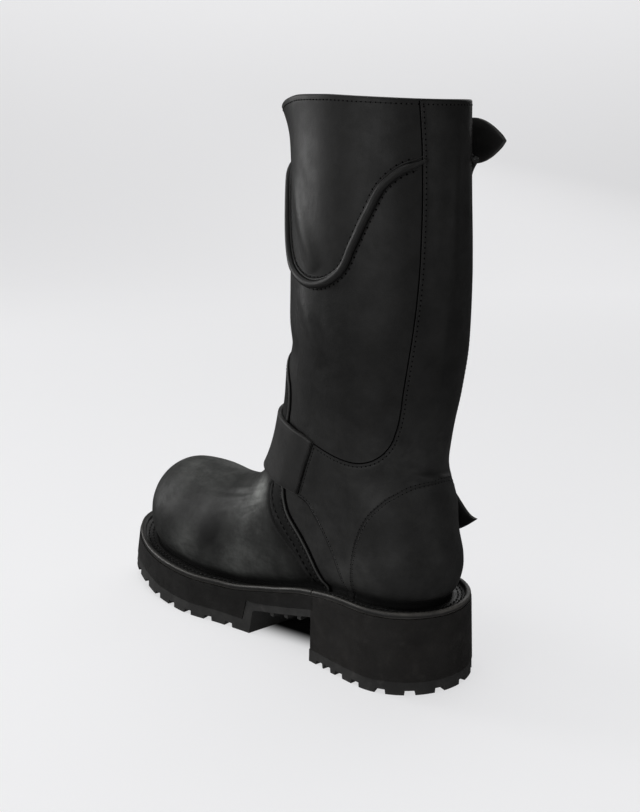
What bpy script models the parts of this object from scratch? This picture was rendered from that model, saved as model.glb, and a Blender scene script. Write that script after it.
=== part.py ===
"""Tall pull-on work boot, right foot: bulbous toe, straight shaft, ankle and top
straps, and a platform sole with a lugged tread and a block heel.

Lengths below are millimetres.  A place on the boot is given by
  s   forward from the back of the welt,
  x   towards the inner (medial) side of the foot,
  z   up from the ground,
and turned into the model's metres by world(): toe towards -Y, medial +X.
"""
import math

import bmesh
import bpy
import numpy as np

MM = 0.001

# ------------------------------------------------------------------ main sizes
WELT_LENGTH = 300.0
TOE_CURVE = 3.6            # inward swing of the toe
GAP = 0.3                  # between touching pieces
WALL = 2.4                 # leather and lining of the upper
WELT_THICK = 4.0
WELT_PROUD = 0.5           # the welt stands out past the midsole
INSOLE_RISE = 3.0          # insole above the top of the welt
TREAD_THICK = 8.3
ARCH_SHEET = 5.0           # tread rubber carried under the arch
FOREFOOT_REAR = 141.0      # rear face of the forefoot tread
HEEL_BREAST = 82.0         # front face of the heel
TOPLIFT_THICK = 8.0
TOPLIFT_PROUD = 1.0        # top lift ahead of the heel's front face
LUG_DEEP = 2.8
LUG_GAP = 6.0
LUG_LONG = 15.0
LUG_PITCH = 18.2           # along the edge of the forefoot
LUG_FIRST = 159.2          # station of the rearmost forefoot gap
HEEL_GAPS = (9.7, 28.7, 46.8, 65.0, 79.8, 90.9, 98.8)   # run round the edge from the back of the heel
RIB_STATIONS = (94.0, 106.7, 120.5)
STRAP_THICK = 3.0
PIPING_RADIUS = 2.3
HEEL_ROUND, HEEL_POWER = 40.0, 1.98
TOE_ROUND, TOE_POWER = 100.0, 2.38

# ------------------------------------------------------------------ sole stations
SOLE_COLUMNS = ("station", "medial", "lateral", "welt_top", "ground", "flare")
SOLE = np.array([
    (0.0, 40.9, 40.9, 50.8, 0.0, 1.5),
    (24.0, 40.9, 40.9, 50.8, 0.0, 1.5),
    (54.0, 40.9, 40.9, 50.2, 0.0, 1.4),
    (90.0, 39.8, 41.0, 45.2, 0.0, 1.2),
    (126.0, 40.6, 41.5, 36.2, 0.0, 1.2),
    (165.0, 44.8, 47.5, 28.9, 0.0, 2.6),
    (198.0, 50.6, 54.0, 28.0, 0.0, 3.8),
    (228.0, 51.4, 54.6, 29.2, 1.4, 3.0),
    (250.0, 50.9, 53.4, 31.2, 5.0, 3.0),
    (264.0, 50.0, 52.0, 33.0, 7.2, 3.4),
    (300.0, 47.0, 47.0, 40.0, 10.0, 5.0),
])
# underside of the arch, bottom of its rubber sheet
ARCH_COLUMNS = ("station", "height")
ARCH = np.array([(82.0, 29.3), (113.0, 21.8), (136.0, 17.0)])

# ------------------------------------------------------------------ upper sections
# one row for each section ring, from the feather line to the rim: where the ring
# meets the back profile, where it meets the front profile, and how far it
# follows the sway of the welt between them
RING_COLUMNS = ("s_back", "z_back", "s_front", "z_front", "sway")
RING = np.array([
    (8.4, 50.8, 286.5, 38.0, 1.00),
    (5.2, 60.0, 288.0, 48.5, 0.92),
    (3.4, 70.0, 286.8, 60.0, 0.84),
    (4.2, 78.5, 282.0, 72.0, 0.78),
    (6.4, 85.7, 272.5, 82.0, 0.72),
    (9.4, 92.5, 257.0, 88.6, 0.66),
    (12.5, 99.2, 236.0, 90.0, 0.62),
    (15.3, 106.0, 213.0, 88.2, 0.44),
    (17.2, 113.0, 192.0, 89.8, 0.24),
    (18.2, 121.0, 173.0, 97.0, 0.08),
    (18.2, 130.0, 159.0, 109.2, 0.00),
    (16.8, 142.0, 149.0, 126.0, 0.00),
    (14.0, 156.0, 141.0, 147.0, 0.00),
    (9.5, 175.0, 134.5, 171.0, 0.00),
    (5.5, 205.0, 130.0, 203.0, 0.00),
    (4.6, 245.0, 127.5, 244.0, 0.00),
    (6.5, 290.0, 126.3, 288.0, 0.00),
    (7.6, 320.0, 127.5, 317.0, 0.00),
    (8.6, 341.5, 135.0, 336.0, 0.00),
])
SHAFT_COLUMNS = ("height", "half_width")
SHAFT = np.array([(50.0, 34.0), (100.0, 36.5), (130.0, 37.5), (150.0, 39.0), (180.0, 42.0),
                  (220.0, 44.8), (270.0, 45.8), (320.0, 45.2), (342.0, 46.0)])
# radius that rounds the section over towards the front profile, and how far the
# upper sits inside the edge of the welt
FOOT_COLUMNS = ("station", "front_round", "feather")
FOOT = np.array([(0.0, 60.0, 5.5), (60.0, 60.0, 6.0), (120.0, 60.0, 6.5), (150.0, 56.0, 7.0),
                 (200.0, 51.0, 8.0), (260.0, 50.0, 11.0), (300.0, 50.0, 12.0)])
RIM_COLUMNS = ("share_back_to_front", "medial_rise", "lateral_rise")
RIM = np.array([(0.0, 0.0, 0.0), (0.25, 3.7, 2.0), (0.45, 6.2, 3.4), (0.62, 7.0, 4.0),
                (0.75, 5.2, 3.3), (0.863, 2.3, 1.6), (1.0, 0.0, 0.0)])

# ------------------------------------------------------------------ straps and trim
# angle runs around the leg: 0 at the back, 90 medial, 180 front, 270 lateral
STRAP_COLUMNS = ("angle", "low", "high")
ANKLE_STRAP = np.array([(91.0, 103.6, 141.5), (103.0, 105.3, 145.5), (119.0, 106.8, 148.5),
                        (135.0, 108.0, 149.8), (180.0, 110.0, 151.5), (210.0, 109.0, 149.0),
                        (238.0, 105.0, 136.0), (254.0, 101.5, 129.5), (265.0, 98.2, 126.2),
                        (288.0, 90.5, 118.5)])
TOP_STRAP = np.array([(206.0, 305.5, 332.5), (288.0, 305.5, 332.5)])
TAIL_COLUMNS = ("x", "s", "z")
ANKLE_TIP = (-46.5, 26.0, 88.5)
TOP_TIP = (-50.5, 16.5, 319.5)
BUCKLE_COLUMNS = ("front_bar", "rear_bar")
ANKLE_BUCKLE = (254.0, 274.0)
TOP_BUCKLE = (256.0, 274.0)
BUCKLE_WIRE = 1.6
BUCKLE_HALF = 18.5          # half the frame across the band
PRONG_WIRE = 1.0
# angle from the back, one table for each side
PIPING_COLUMNS = ("angle", "height")
PIPING = np.array([(26.5, 309.0), (38.0, 305.2), (48.0, 298.0), (58.0, 281.8), (67.0, 264.0),
                   (76.0, 248.0), (86.0, 241.6), (98.0, 239.3), (109.0, 241.6), (119.5, 247.0),
                   (128.0, 257.0), (134.5, 271.0), (140.0, 287.0), (146.0, 298.0), (160.0, 305.5),
                   (180.0, 308.0)])
PIPING_OUTER = np.array([(26.5, 309.5), (40.0, 309.0), (52.0, 304.5), (62.0, 290.0), (70.0, 272.0),
                         (78.0, 255.0), (90.0, 243.0), (103.0, 239.5), (115.0, 242.5), (126.0, 253.0),
                         (136.0, 270.0), (146.0, 286.0), (160.0, 300.0), (180.0, 308.0)])

# ------------------------------------------------------------------ small tools


def curve(table, column, at):
    """Monotone cubic through one column of a table, read along its first column."""
    xs, ys = table[:, 0], table[:, column]
    at = np.clip(np.asarray(at, float), xs[0], xs[-1])
    step = np.diff(xs)
    slope = np.diff(ys) / step
    m = np.zeros_like(ys)
    for i in range(1, len(xs) - 1):
        if slope[i - 1] * slope[i] > 0:
            a, b = 2 * step[i] + step[i - 1], step[i] + 2 * step[i - 1]
            m[i] = (a + b) / (a / slope[i - 1] + b / slope[i])
    m[0], m[-1] = slope[0], slope[-1]
    i = np.clip(np.searchsorted(xs, at, side="right") - 1, 0, len(xs) - 2)
    t = (at - xs[i]) / step[i]
    return (ys[i] * (1 + 2 * t) * (1 - t) ** 2 + m[i] * step[i] * t * (1 - t) ** 2
            + ys[i + 1] * t * t * (3 - 2 * t) + m[i + 1] * step[i] * t * t * (t - 1))


def ease(a, b, x):
    t = np.clip((np.asarray(x, float) - a) / (b - a), 0, 1)
    return t * t * (3 - 2 * t)


def station(name, s):
    return curve(SOLE, SOLE_COLUMNS.index(name), s)


def centre(s):
    """Middle of the sole, which swings inward towards the toe."""
    return TOE_CURVE * np.sin(np.clip((np.asarray(s, float) - 75) / 225, 0, 1) * math.pi / 2) ** 2


def outline(angle, grow=0.0):
    """Sole outline in plan; angle 0 at the heel, pi at the toe.  grow is the
    share of the flare that is added all round."""
    angle = np.asarray(angle, float)
    back, front = -grow * SOLE[0, 5], WELT_LENGTH + grow * SOLE[-1, 5]
    s = back + (front - back) * (1 - np.cos(angle)) / 2
    heel = np.clip((s - back) / HEEL_ROUND, 0, 1)
    toe = np.clip((front - s) / TOE_ROUND, 0, 1)
    close = ((1 - (1 - heel) ** HEEL_POWER) ** (1 / HEEL_POWER)
             * (1 - (1 - toe) ** TOE_POWER) ** (1 / TOE_POWER))
    more = grow * station("flare", s)
    half = np.where(np.sin(angle) >= 0, station("medial", s) + more, -station("lateral", s) - more)
    return centre(s) + half * close, s


TURN = np.linspace(0, 2 * math.pi, 361)
_x, _s = outline(TURN, 1.0)
X_MIDDLE = (_x.max() + _x.min()) / 2
S_MIDDLE = (_s.max() + _s.min()) / 2


def world(points):
    p = np.asarray(points, float)
    return np.stack([p[..., 0] - X_MIDDLE, S_MIDDLE - p[..., 1], p[..., 2]], -1) * MM


# ------------------------------------------------------------------ upper's own form


def row(name, v):
    """A ring column read at v, from 0 at the feather line to 1 at the rim."""
    n = len(RING) - 1
    table = np.column_stack([np.arange(n + 1), RING])
    return curve(table, 1 + RING_COLUMNS.index(name), np.asarray(v, float) * n)


_v = np.linspace(0, 1, 500)
FRONT = np.stack([row("s_front", _v), row("z_front", _v)], -1)
BACK = np.stack([row("s_back", _v), row("z_back", _v)], -1)


def away(profile, s, z):
    """Side-view distance from a profile line."""
    p = np.stack([s, z], -1).reshape(-1, 1, 2)
    a, ab = profile[None, :-1], (profile[1:] - profile[:-1])[None]
    out = np.empty(len(p))
    for i in range(0, len(p), 1000):
        q = p[i:i + 1000]
        t = np.clip(((q - a) * ab).sum(-1) / (ab ** 2).sum(-1), 0, 1)
        out[i:i + 1000] = np.sqrt((((a + t[..., None] * ab) - q) ** 2).sum(-1)).min(1)
    return out.reshape(np.shape(s))


def bow(distance, radius):
    return np.sqrt(np.maximum(0, 1 - (1 - np.minimum(distance / radius, 1)) ** 2))


def skin(v, angle):
    """Outer face of the upper at ring v and angle (radians), as x, s, z."""
    v, angle = np.broadcast_arrays(np.asarray(v, float), np.asarray(angle, float))
    sb, zb, sf, zf, sway = (row(c, v) for c in RING_COLUMNS)
    g = (1 - np.cos(angle)) / 2
    medial = np.sin(angle) >= 0
    s = sb + (sf - sb) * g
    chord = RING[0, 1] + (RING[0, 3] - RING[0, 1]) * (s - RING[0, 0]) / (RING[0, 2] - RING[0, 0])
    share = np.sin(angle) ** 2
    share = share + (1 - share) * (1 - ease(0, 0.12, v))
    z = (zf + (zb - zf) * (1 - g) ** 1.6 + sway * (station("welt_top", s) - chord) * share
         + np.where(medial, curve(RIM, 1, g), curve(RIM, 2, g)) * ease(0.86, 1.0, v))
    foot = np.where(medial, station("medial", s), station("lateral", s)) - curve(FOOT, 2, s)
    up = ease(60, 150, z + 0.35 * (120 - np.minimum(s, 120)))
    width = foot * (1 - up) + curve(SHAFT, 1, z) * up
    tuck = 1 - 0.06 * (1 - ease(0, 16, z - station("welt_top", s)))
    width = width * tuck * bow(away(FRONT, s, z), curve(FOOT, 1, s)) \
        * bow(away(BACK, s, z), 40 + 20 * ease(100, 190, z))
    width = np.where(np.abs(np.sin(angle)) < 1e-9, 0, width)
    x = centre(s) * np.clip(1 - (z - 60) / 80, 0, 1) + np.where(medial, width, -width)
    return np.stack([x, s, z], -1)


def outward(v, angle):
    """Unit normal of the outer face."""
    dv, da = 0.004, math.radians(2)
    v0, v1 = np.clip(np.asarray(v) - dv, 0, 1), np.clip(np.asarray(v) + dv, 0, 1)
    along = skin(v1, angle) - skin(v0, angle)
    round_ = skin(v, np.asarray(angle) + da) - skin(v, np.asarray(angle) - da)
    n = np.cross(along, round_)
    n /= np.linalg.norm(n, axis=-1, keepdims=True)
    middle = np.array([0.0, 75.0, 0.0])
    flip = np.sum(n * (skin(v, angle) - middle) * [1, 1, 0], -1) < 0
    return np.where(flip[..., None], -n, n)


def at_height(angle, height, low=0.3, high=1.0):
    """Ring v at which the face stands at a height, for each angle."""
    angle, height = np.broadcast_arrays(np.asarray(angle, float), np.asarray(height, float))
    lo, hi = np.full(angle.shape, low), np.full(angle.shape, high)
    for _ in range(34):
        mid = (lo + hi) / 2
        under = skin(mid, angle)[..., 2] < height
        lo, hi = np.where(under, mid, lo), np.where(under, hi, mid)
    return (lo + hi) / 2


# ------------------------------------------------------------------ scene helpers
for old in list(bpy.data.objects):
    bpy.data.objects.remove(old, do_unlink=True)
for old in list(bpy.data.collections):
    bpy.data.collections.remove(old)

PARTS = bpy.data.collections.new("work_boot")
CUTTERS = bpy.data.collections.new("cutters")
bpy.context.scene.collection.children.link(PARTS)
bpy.context.scene.collection.children.link(CUTTERS)

root = bpy.data.objects.new("boot_origin", None)
PARTS.objects.link(root)


def material(name, colour, rough, metal=0.0):
    m = bpy.data.materials.get(name)
    if m is None:
        m = bpy.data.materials.new(name)
        m.use_nodes = True
        shader = m.node_tree.nodes["Principled BSDF"]
        shader.inputs["Base Color"].default_value = (*colour, 1)
        shader.inputs["Roughness"].default_value = rough
        shader.inputs["Metallic"].default_value = metal
    return m


LEATHER = material("black_leather", (0.028, 0.027, 0.026), 0.45)
STRAP_LEATHER = material("strap_leather", (0.025, 0.024, 0.024), 0.42)
LINING = material("insole_leather", (0.10, 0.075, 0.05), 0.7)
WELT_MAT = material("welt_leather", (0.03, 0.028, 0.026), 0.5)
MIDSOLE_MAT = material("midsole_rubber", (0.022, 0.021, 0.020), 0.6)
TREAD_MAT = material("tread_rubber", (0.045, 0.045, 0.043), 0.75)
STEEL = material("dark_steel", (0.35, 0.34, 0.33), 0.35, 1.0)


def place(name, mesh, mat, collection=PARTS):
    """A named object holding a mesh, parented to the boot's origin."""
    thing = bpy.data.objects.new(name, mesh)
    collection.objects.link(thing)
    if collection is CUTTERS:
        thing.hide_render = True
        thing.display_type = "WIRE"
    else:
        thing.parent = root
        mesh.materials.append(mat)
        mesh.shade_smooth()
        mesh.set_sharp_from_angle(angle=math.radians(40))
    return thing


def sheet(grid, wrap):
    """Open surface through a grid of points, closed round its columns if wrap."""
    rows, columns = grid.shape[:2]
    bm = bmesh.new()
    verts = [[bm.verts.new(p) for p in line] for line in world(grid)]
    for i in range(rows - 1):
        for j in range(columns if wrap else columns - 1):
            k = (j + 1) % columns
            bm.faces.new((verts[i][j], verts[i][k], verts[i + 1][k], verts[i + 1][j]))
    bmesh.ops.recalc_face_normals(bm, faces=bm.faces)
    return bm


def to_mesh(bm, name):
    mesh = bpy.data.meshes.new(name)
    bm.to_mesh(mesh)
    bm.free()
    return mesh


def tube_of_loops(loops, name):
    """Closed ring solid skinned through loops of points, the last joined to the first."""
    grid = np.array(list(loops) + [loops[0]])
    bm = sheet(grid, True)
    bmesh.ops.remove_doubles(bm, verts=bm.verts, dist=1e-7)
    bmesh.ops.recalc_face_normals(bm, faces=bm.faces)
    return to_mesh(bm, name)


def slab_of_loops(bottom, top, name):
    """Closed solid between two loops that run heel, medial, toe, lateral; the caps
    are strips between points of the two sides at the same station."""
    n = len(bottom)
    half = n // 2
    bm = bmesh.new()
    low = [bm.verts.new(p) for p in world(bottom)]
    up = [bm.verts.new(p) for p in world(top)]
    for i in range(n):
        j = (i + 1) % n
        bm.faces.new((low[i], low[j], up[j], up[i]))
    for ends in (low, up):
        for i in range(half):
            a, b, c, d = ends[i], ends[i + 1], ends[n - i - 1], ends[(n - i) % n]
            bm.faces.new([p for k, p in enumerate((a, b, c, d)) if p not in (a, b, c, d)[:k]])
    bmesh.ops.recalc_face_normals(bm, faces=bm.faces)
    return to_mesh(bm, name)


def prism(name, profile, half_width=90.0):
    """Cutter: a side-view profile of (s, z) points carried across the boot."""
    bm = bmesh.new()
    side = np.array([(-half_width, s, z) for s, z in profile])
    face = bm.faces.new([bm.verts.new(p) for p in world(side)])
    moved = bmesh.ops.extrude_face_region(bm, geom=[face])["geom"]
    for vert in (g for g in moved if isinstance(g, bmesh.types.BMVert)):
        vert.co.x += 2 * half_width * MM
    bmesh.ops.recalc_face_normals(bm, faces=bm.faces)
    return place(name, to_mesh(bm, name), None, CUTTERS)


def boolean(thing, cutter, operation):
    mod = thing.modifiers.new(operation.lower(), "BOOLEAN")
    mod.operation = operation
    mod.solver = "EXACT" if operation == "INTERSECT" else "MANIFOLD"
    mod.object = cutter


# ------------------------------------------------------------------ sole
AROUND = np.linspace(0, 2 * math.pi, 72, endpoint=False)
BLOCK_LOW, BLOCK_HIGH = -6.0, 60.0


def wall_loop(height):
    """Loop on the flared wall of the sole at one height."""
    _, s = outline(AROUND)
    grow = 1 - height / station("welt_top", s)
    x, t = np.empty(len(AROUND)), np.empty(len(AROUND))
    for i, (a, g) in enumerate(zip(AROUND, grow)):
        x[i], t[i] = outline(a, g)
    return np.stack([x, t, np.full(len(AROUND), height)], -1)


def sole_block(name):
    return slab_of_loops(wall_loop(BLOCK_LOW), wall_loop(BLOCK_HIGH), name)


def tread_top(s):
    """Upper face of the tread: forefoot, step up its rear face, then the arch."""
    s = np.asarray(s, float)
    arch = curve(ARCH, 1, s) + ARCH_SHEET
    fore = station("ground", s) + TREAD_THICK
    return arch + (fore - arch) * np.clip((s - FOREFOOT_REAR - 3.0) / 3.0, 0, 1)


FORE_STATIONS = np.concatenate([np.linspace(FOREFOOT_REAR, 205, 4), np.linspace(214, 312, 12)])
TREAD_STATIONS = np.concatenate([np.linspace(HEEL_BREAST + GAP, 138, 7),
                                 [FOREFOOT_REAR + 3.0, FOREFOOT_REAR + 6.0],
                                 np.linspace(152, 312, 15)])

# tread: under the forefoot, up its rear face and back along the arch
tread = place("outsole_tread", sole_block("outsole_tread"), TREAD_MAT)
profile = [(s, float(station("ground", s))) for s in FORE_STATIONS]
profile += [(s, float(tread_top(s))) for s in TREAD_STATIONS[::-1]]
profile += [(s, float(curve(ARCH, 1, s))) for s in np.linspace(HEEL_BREAST + GAP, FOREFOOT_REAR - 4, 6)]
profile += [(FOREFOOT_REAR - 2.5, float(ARCH[-1, 1]) - 1.5)]
boolean(tread, prism("tread_profile", profile), "INTERSECT")

# midsole: from the tread to the welt, and back to the heel, which it butts against
midsole = place("midsole", sole_block("midsole"), MIDSOLE_MAT)
top = lambda s: float(station("welt_top", s)) - WELT_THICK - GAP
profile = [(s, top(s)) for s in np.concatenate([np.linspace(HEEL_BREAST + GAP, 288, 20), [312.0]])]
profile += [(s + 0.5, float(tread_top(s)) + GAP) for s in TREAD_STATIONS[:0:-1]]
profile += [(HEEL_BREAST + GAP, float(tread_top(HEEL_BREAST)) + GAP)]
boolean(midsole, prism("midsole_profile", profile), "INTERSECT")

# heel block, full height up to the welt, and its rubber top lift
heel = place("heel_block", sole_block("heel_block"), MIDSOLE_MAT)
profile = [(-12.0, TOPLIFT_THICK + GAP), (HEEL_BREAST, TOPLIFT_THICK + GAP)]
profile += [(s, top(s)) for s in np.concatenate([np.linspace(HEEL_BREAST, 12, 7), [-12.0]])]
boolean(heel, prism("heel_profile", profile), "INTERSECT")

toplift = place("heel_toplift", sole_block("heel_toplift"), TREAD_MAT)
front = HEEL_BREAST + TOPLIFT_PROUD
profile = [(-12.0, 0.0), (front, 0.0), (front, TOPLIFT_THICK), (-12.0, TOPLIFT_THICK)]
boolean(toplift, prism("toplift_profile", profile), "INTERSECT")


def edge_run():
    """Fine outline of the tread's edge: angle, x, s and the run along it from the
    back of the heel."""
    fine = np.linspace(0, 2 * math.pi, 2881)
    x, s = outline(fine, 1.0)
    return fine, x, s, np.concatenate([[0], np.cumsum(np.hypot(np.diff(x), np.diff(s)))])


def notches(name, runs):
    """Cutter of open lug gaps set square to the sole's edge, at runs along it."""
    fine, x, s, run = edge_run()
    bm = bmesh.new()
    for where in runs:
        angle = np.interp(where % run[-1], run, fine)
        px, ps = (float(np.interp(angle, fine, c)) for c in (x, s))
        qx, qs = (float(np.interp(angle + 0.01, fine, c)) for c in (x, s))
        heading = math.atan2(-(qs - ps), qx - px)
        cube = bmesh.ops.create_cube(bm, size=1.0)["verts"]
        bmesh.ops.scale(bm, verts=cube, vec=(LUG_GAP * MM, 2 * LUG_LONG * MM, 2 * LUG_DEEP * MM))
        turn = np.array([[math.cos(heading), -math.sin(heading)], [math.sin(heading), math.cos(heading)]])
        spot = world([px, ps, float(station("ground", ps))])
        for vert in cube:
            xy = turn @ np.array(vert.co[:2])
            vert.co = (xy[0] + spot[0], xy[1] + spot[1], vert.co.z + spot[2])
    return place(name, to_mesh(bm, name), None, CUTTERS)


def cross_bars(name, begin, end, pitch, width):
    """Cutter of shallow grooves across the middle of the tread."""
    bm = bmesh.new()
    for s in np.arange(begin, end, pitch):
        cube = bmesh.ops.create_cube(bm, size=1.0)["verts"]
        bmesh.ops.scale(bm, verts=cube, vec=(width * MM, LUG_GAP * MM, 2 * LUG_DEEP * MM))
        spot = world([float(centre(s)), s, float(station("ground", s))])
        bmesh.ops.translate(bm, verts=cube, vec=spot)
    return place(name, to_mesh(bm, name), None, CUTTERS)


fine, _, edge_s, run = edge_run()
half = np.searchsorted(fine, math.pi)
first = float(np.interp(LUG_FIRST, edge_s[:half], run[:half]))
last = run[-1] - float(np.interp(LUG_FIRST, edge_s[:half:-1], run[-1] - run[:half:-1]))
gaps = np.linspace(first, last, int(round((last - first) / LUG_PITCH)) + 1)
boolean(tread, notches("forefoot_lugs", gaps), "DIFFERENCE")
boolean(tread, cross_bars("forefoot_bars", 160.0, 262.0, 17.0, 44.0), "DIFFERENCE")
boolean(toplift, notches("heel_lugs", [side * r for r in HEEL_GAPS for side in (1, -1)]), "DIFFERENCE")
boolean(toplift, cross_bars("heel_bars", 26.0, 70.0, 17.0, 36.0), "DIFFERENCE")

# three ribs across the arch, joined to the tread
ribs = bmesh.new()
for s in RIB_STATIONS:
    cube = bmesh.ops.create_cube(ribs, size=1.0)["verts"]
    wide = float(station("medial", s) + station("lateral", s)) - 1.0
    bmesh.ops.scale(ribs, verts=cube, vec=(wide * MM, 3.4 * MM, 6.0 * MM))
    bmesh.ops.translate(ribs, verts=cube, vec=world([float(centre(s)), s, float(curve(ARCH, 1, s)) + 0.6]))
boolean(tread, place("arch_ribs", to_mesh(ribs, "arch_ribs"), None, CUTTERS), "UNION")

# ------------------------------------------------------------------ welt and insole


def feather(inset):
    """Foot line of the upper in plan, brought in by an inset."""
    p = skin(0.0, AROUND)[:, :2]
    along = np.roll(p, -1, 0) - np.roll(p, 1, 0)
    normal = np.stack([-along[:, 1], along[:, 0]], -1) / np.linalg.norm(along, axis=1, keepdims=True)
    middle = np.array([0.0, 150.0])
    if np.mean(np.sum(normal * (p - middle), 1)) < 0:
        normal = -normal
    return p - inset * normal


def lifted(plan, above):
    return np.column_stack([plan, station("welt_top", plan[:, 1]) + above])


edge = np.stack(outline(AROUND), -1)
middle = np.array([0.0, 150.0])
proud = edge + (edge - middle) / np.linalg.norm(edge - middle, axis=1, keepdims=True) * WELT_PROUD
hole = feather(2.0)
welt = place("welt", tube_of_loops([lifted(proud, -WELT_THICK), lifted(proud, 0.0), lifted(hole, 0.0),
                                    lifted(hole, -WELT_THICK)], "welt"), WELT_MAT)

bed = feather(WALL + 0.9)
insole = place("insole", slab_of_loops(lifted(bed, -WELT_THICK), lifted(bed, INSOLE_RISE), "insole"), LINING)

# ------------------------------------------------------------------ upper
UPPER_RINGS, UPPER_TURNS = 37, 44
grid = skin(np.linspace(0, 1, UPPER_RINGS)[:, None], np.linspace(0, 2 * math.pi, UPPER_TURNS, endpoint=False)[None])
grid[0, :, 2] = station("welt_top", grid[0, :, 1]) + GAP
upper = place("upper", to_mesh(sheet(grid, True), "upper"), LEATHER)
wall = upper.modifiers.new("wall", "SOLIDIFY")
wall.thickness = WALL * MM
wall.offset = -1.0

# ------------------------------------------------------------------ straps


def strap(name, table, tip, buckle, steps, tail_steps):
    """Band that follows the upper from its sewn end to past the buckle, then runs
    straight off it as a pointed tail."""
    across = np.linspace(0, 1, 4)
    turn = np.radians(np.linspace(table[0, 0], table[-1, 0], steps))
    low, high = (curve(table, c, np.degrees(turn)) for c in (1, 2))
    height = low[:, None] + (high - low)[:, None] * across[None]
    angle = np.repeat(turn[:, None], len(across), 1)
    v = at_height(angle, height)
    lift = 0.6 + 5.6 * ease(buckle[0] + 2, buckle[1] - 3, np.degrees(angle))
    body = skin(v, angle) + outward(v, angle) * lift[..., None]
    last = body[-1]
    heart, spread = last.mean(0), last - last.mean(0)
    rows = [body]
    for t in np.linspace(0, 1, tail_steps + 1)[1:]:
        spot = heart + (np.array(tip) - heart) * t
        rows.append((spot + spread * (1 - 0.93 * max(0, (t - 0.45) / 0.55) ** 1.7))[None])
    thing = place(name, to_mesh(sheet(np.concatenate(rows), False), name), STRAP_LEATHER)
    mod = thing.modifiers.new("leather", "SOLIDIFY")
    mod.thickness = STRAP_THICK * MM
    mod.offset = 1.0
    return thing


def face_out(thing):
    """Turn a band's faces so that they look away from the leg."""
    bm = bmesh.new()
    bm.from_mesh(thing.data)
    heart = np.array(world([0.0, 75.0, 0.0]))
    total = sum(f.normal.x * (f.calc_center_median().x - heart[0]) + f.normal.y * (f.calc_center_median().y - heart[1])
                for f in bm.faces)
    if total < 0:
        bmesh.ops.reverse_faces(bm, faces=bm.faces)
    bm.to_mesh(thing.data)
    bm.free()


face_out(upper)
face_out(strap("ankle_strap", ANKLE_STRAP, ANKLE_TIP, ANKLE_BUCKLE, 30, 6))
face_out(strap("top_strap", TOP_STRAP, TOP_TIP, TOP_BUCKLE, 16, 6))


def wire(name, points, radius, mat, cyclic):
    """Bent wire or cord of round section through a run of points."""
    data = bpy.data.curves.new(name, "CURVE")
    data.dimensions = "3D"
    data.bevel_depth = radius * MM
    data.bevel_resolution = 1
    data.use_fill_caps = True
    spline = data.splines.new("POLY")
    spline.points.add(len(points) - 1)
    for point, p in zip(spline.points, world(points)):
        point.co = (*p, 1)
    spline.use_cyclic_u = cyclic
    data.materials.append(mat)
    thing = bpy.data.objects.new(name, data)
    thing.parent = root
    PARTS.objects.link(thing)
    return thing


def on_band(table, degrees, share, lift):
    """Point over a band: at an angle, a share of its width (0 low, 1 high) and a lift."""
    angle = math.radians(degrees)
    low, high = (float(curve(table, c, degrees)) for c in (1, 2))
    v = at_height(angle, low + (high - low) * share)
    return skin(v, angle) + outward(v, angle) * lift


def buckle(name, table, bars, clear):
    """Flat wire frame set square to its band: the front bar lies over the band and
    the rear bar under it, and the prong rests on the front bar."""
    front, rear = bars
    fore, aft = on_band(table, front, 0.5, 0.0), on_band(table, rear, 0.5, 0.0)
    along = (aft - fore) / np.linalg.norm(aft - fore)
    out = on_band(table, (front + rear) / 2, 0.5, 1.0) - on_band(table, (front + rear) / 2, 0.5, 0.0)
    side = np.cross(out, along)
    side /= np.linalg.norm(side)
    out = np.cross(along, side)
    over = 0.6 + STRAP_THICK + clear + BUCKLE_WIRE
    under = 6.2 - 1.8 - BUCKLE_WIRE
    half, corner = BUCKLE_HALF, 4.0
    length = np.linalg.norm(aft - fore)
    points = []
    for a0, u0, w0 in ((0, 1, 1), (1, 1, 1), (1, 0, -1), (0, 0, -1)):
        centre_along = (length - corner) if a0 else corner
        centre_side = (half - corner) * w0
        begin = {(0, 1): 180, (1, 1): 90, (1, -1): 0, (0, -1): -90}[(a0, w0)]
        for turn in np.linspace(begin, begin - 90, 4):
            p = centre_along + corner * math.cos(math.radians(turn))
            q = centre_side + corner * math.sin(math.radians(turn))
            points.append(fore + along * p + side * q + out * (over + (under - over) * p / length))
    wire(name, np.array(points), BUCKLE_WIRE, STEEL, True)
    rest = over + BUCKLE_WIRE + 0.4 + PRONG_WIRE
    prong = [fore + along * p + out * lift for p, lift in
             ((length * 0.5, over + 3.4), (length * 0.3, over + 3.6), (0.0, rest), (-4.0, rest - 1.2))]
    wire(name.replace("buckle", "prong"), np.array(prong), PRONG_WIRE, STEEL, False)


buckle("ankle_buckle", ANKLE_STRAP, ANKLE_BUCKLE, 2.7)
buckle("top_buckle", TOP_STRAP, TOP_BUCKLE, 0.9)

# ------------------------------------------------------------------ rolled piping on the shaft
turn = np.concatenate([np.arange(PIPING[0, 0], 180, 5.2), [180.0]])
path = []
for degrees in np.concatenate([turn, 360 - turn[-2::-1]]):
    angle = math.radians(degrees)
    v = at_height(angle, float(curve(PIPING if degrees <= 180 else PIPING_OUTER, 1, min(degrees, 360 - degrees))))
    path.append(skin(v, angle) + outward(v, angle) * (PIPING_RADIUS + 0.6))
wire("shaft_piping", np.array(path), PIPING_RADIUS, LEATHER, False)
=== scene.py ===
"""Looks of the tall pull-on work boot, right foot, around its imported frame.

Lengths below are millimetres unless a name says otherwise.  A place on the boot is
given by
  s   forward from the back of the welt,
  x   towards the inner (medial) side of the foot,
  z   up from the ground,
and turned into the frame's metres by world().  Angles round the leg are 0 at the
back, 90 medial, 180 front and 270 lateral.
"""
import math

import bmesh
import bpy
import numpy as np
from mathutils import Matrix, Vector
from mathutils.geometry import delaunay_2d_cdt

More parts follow.
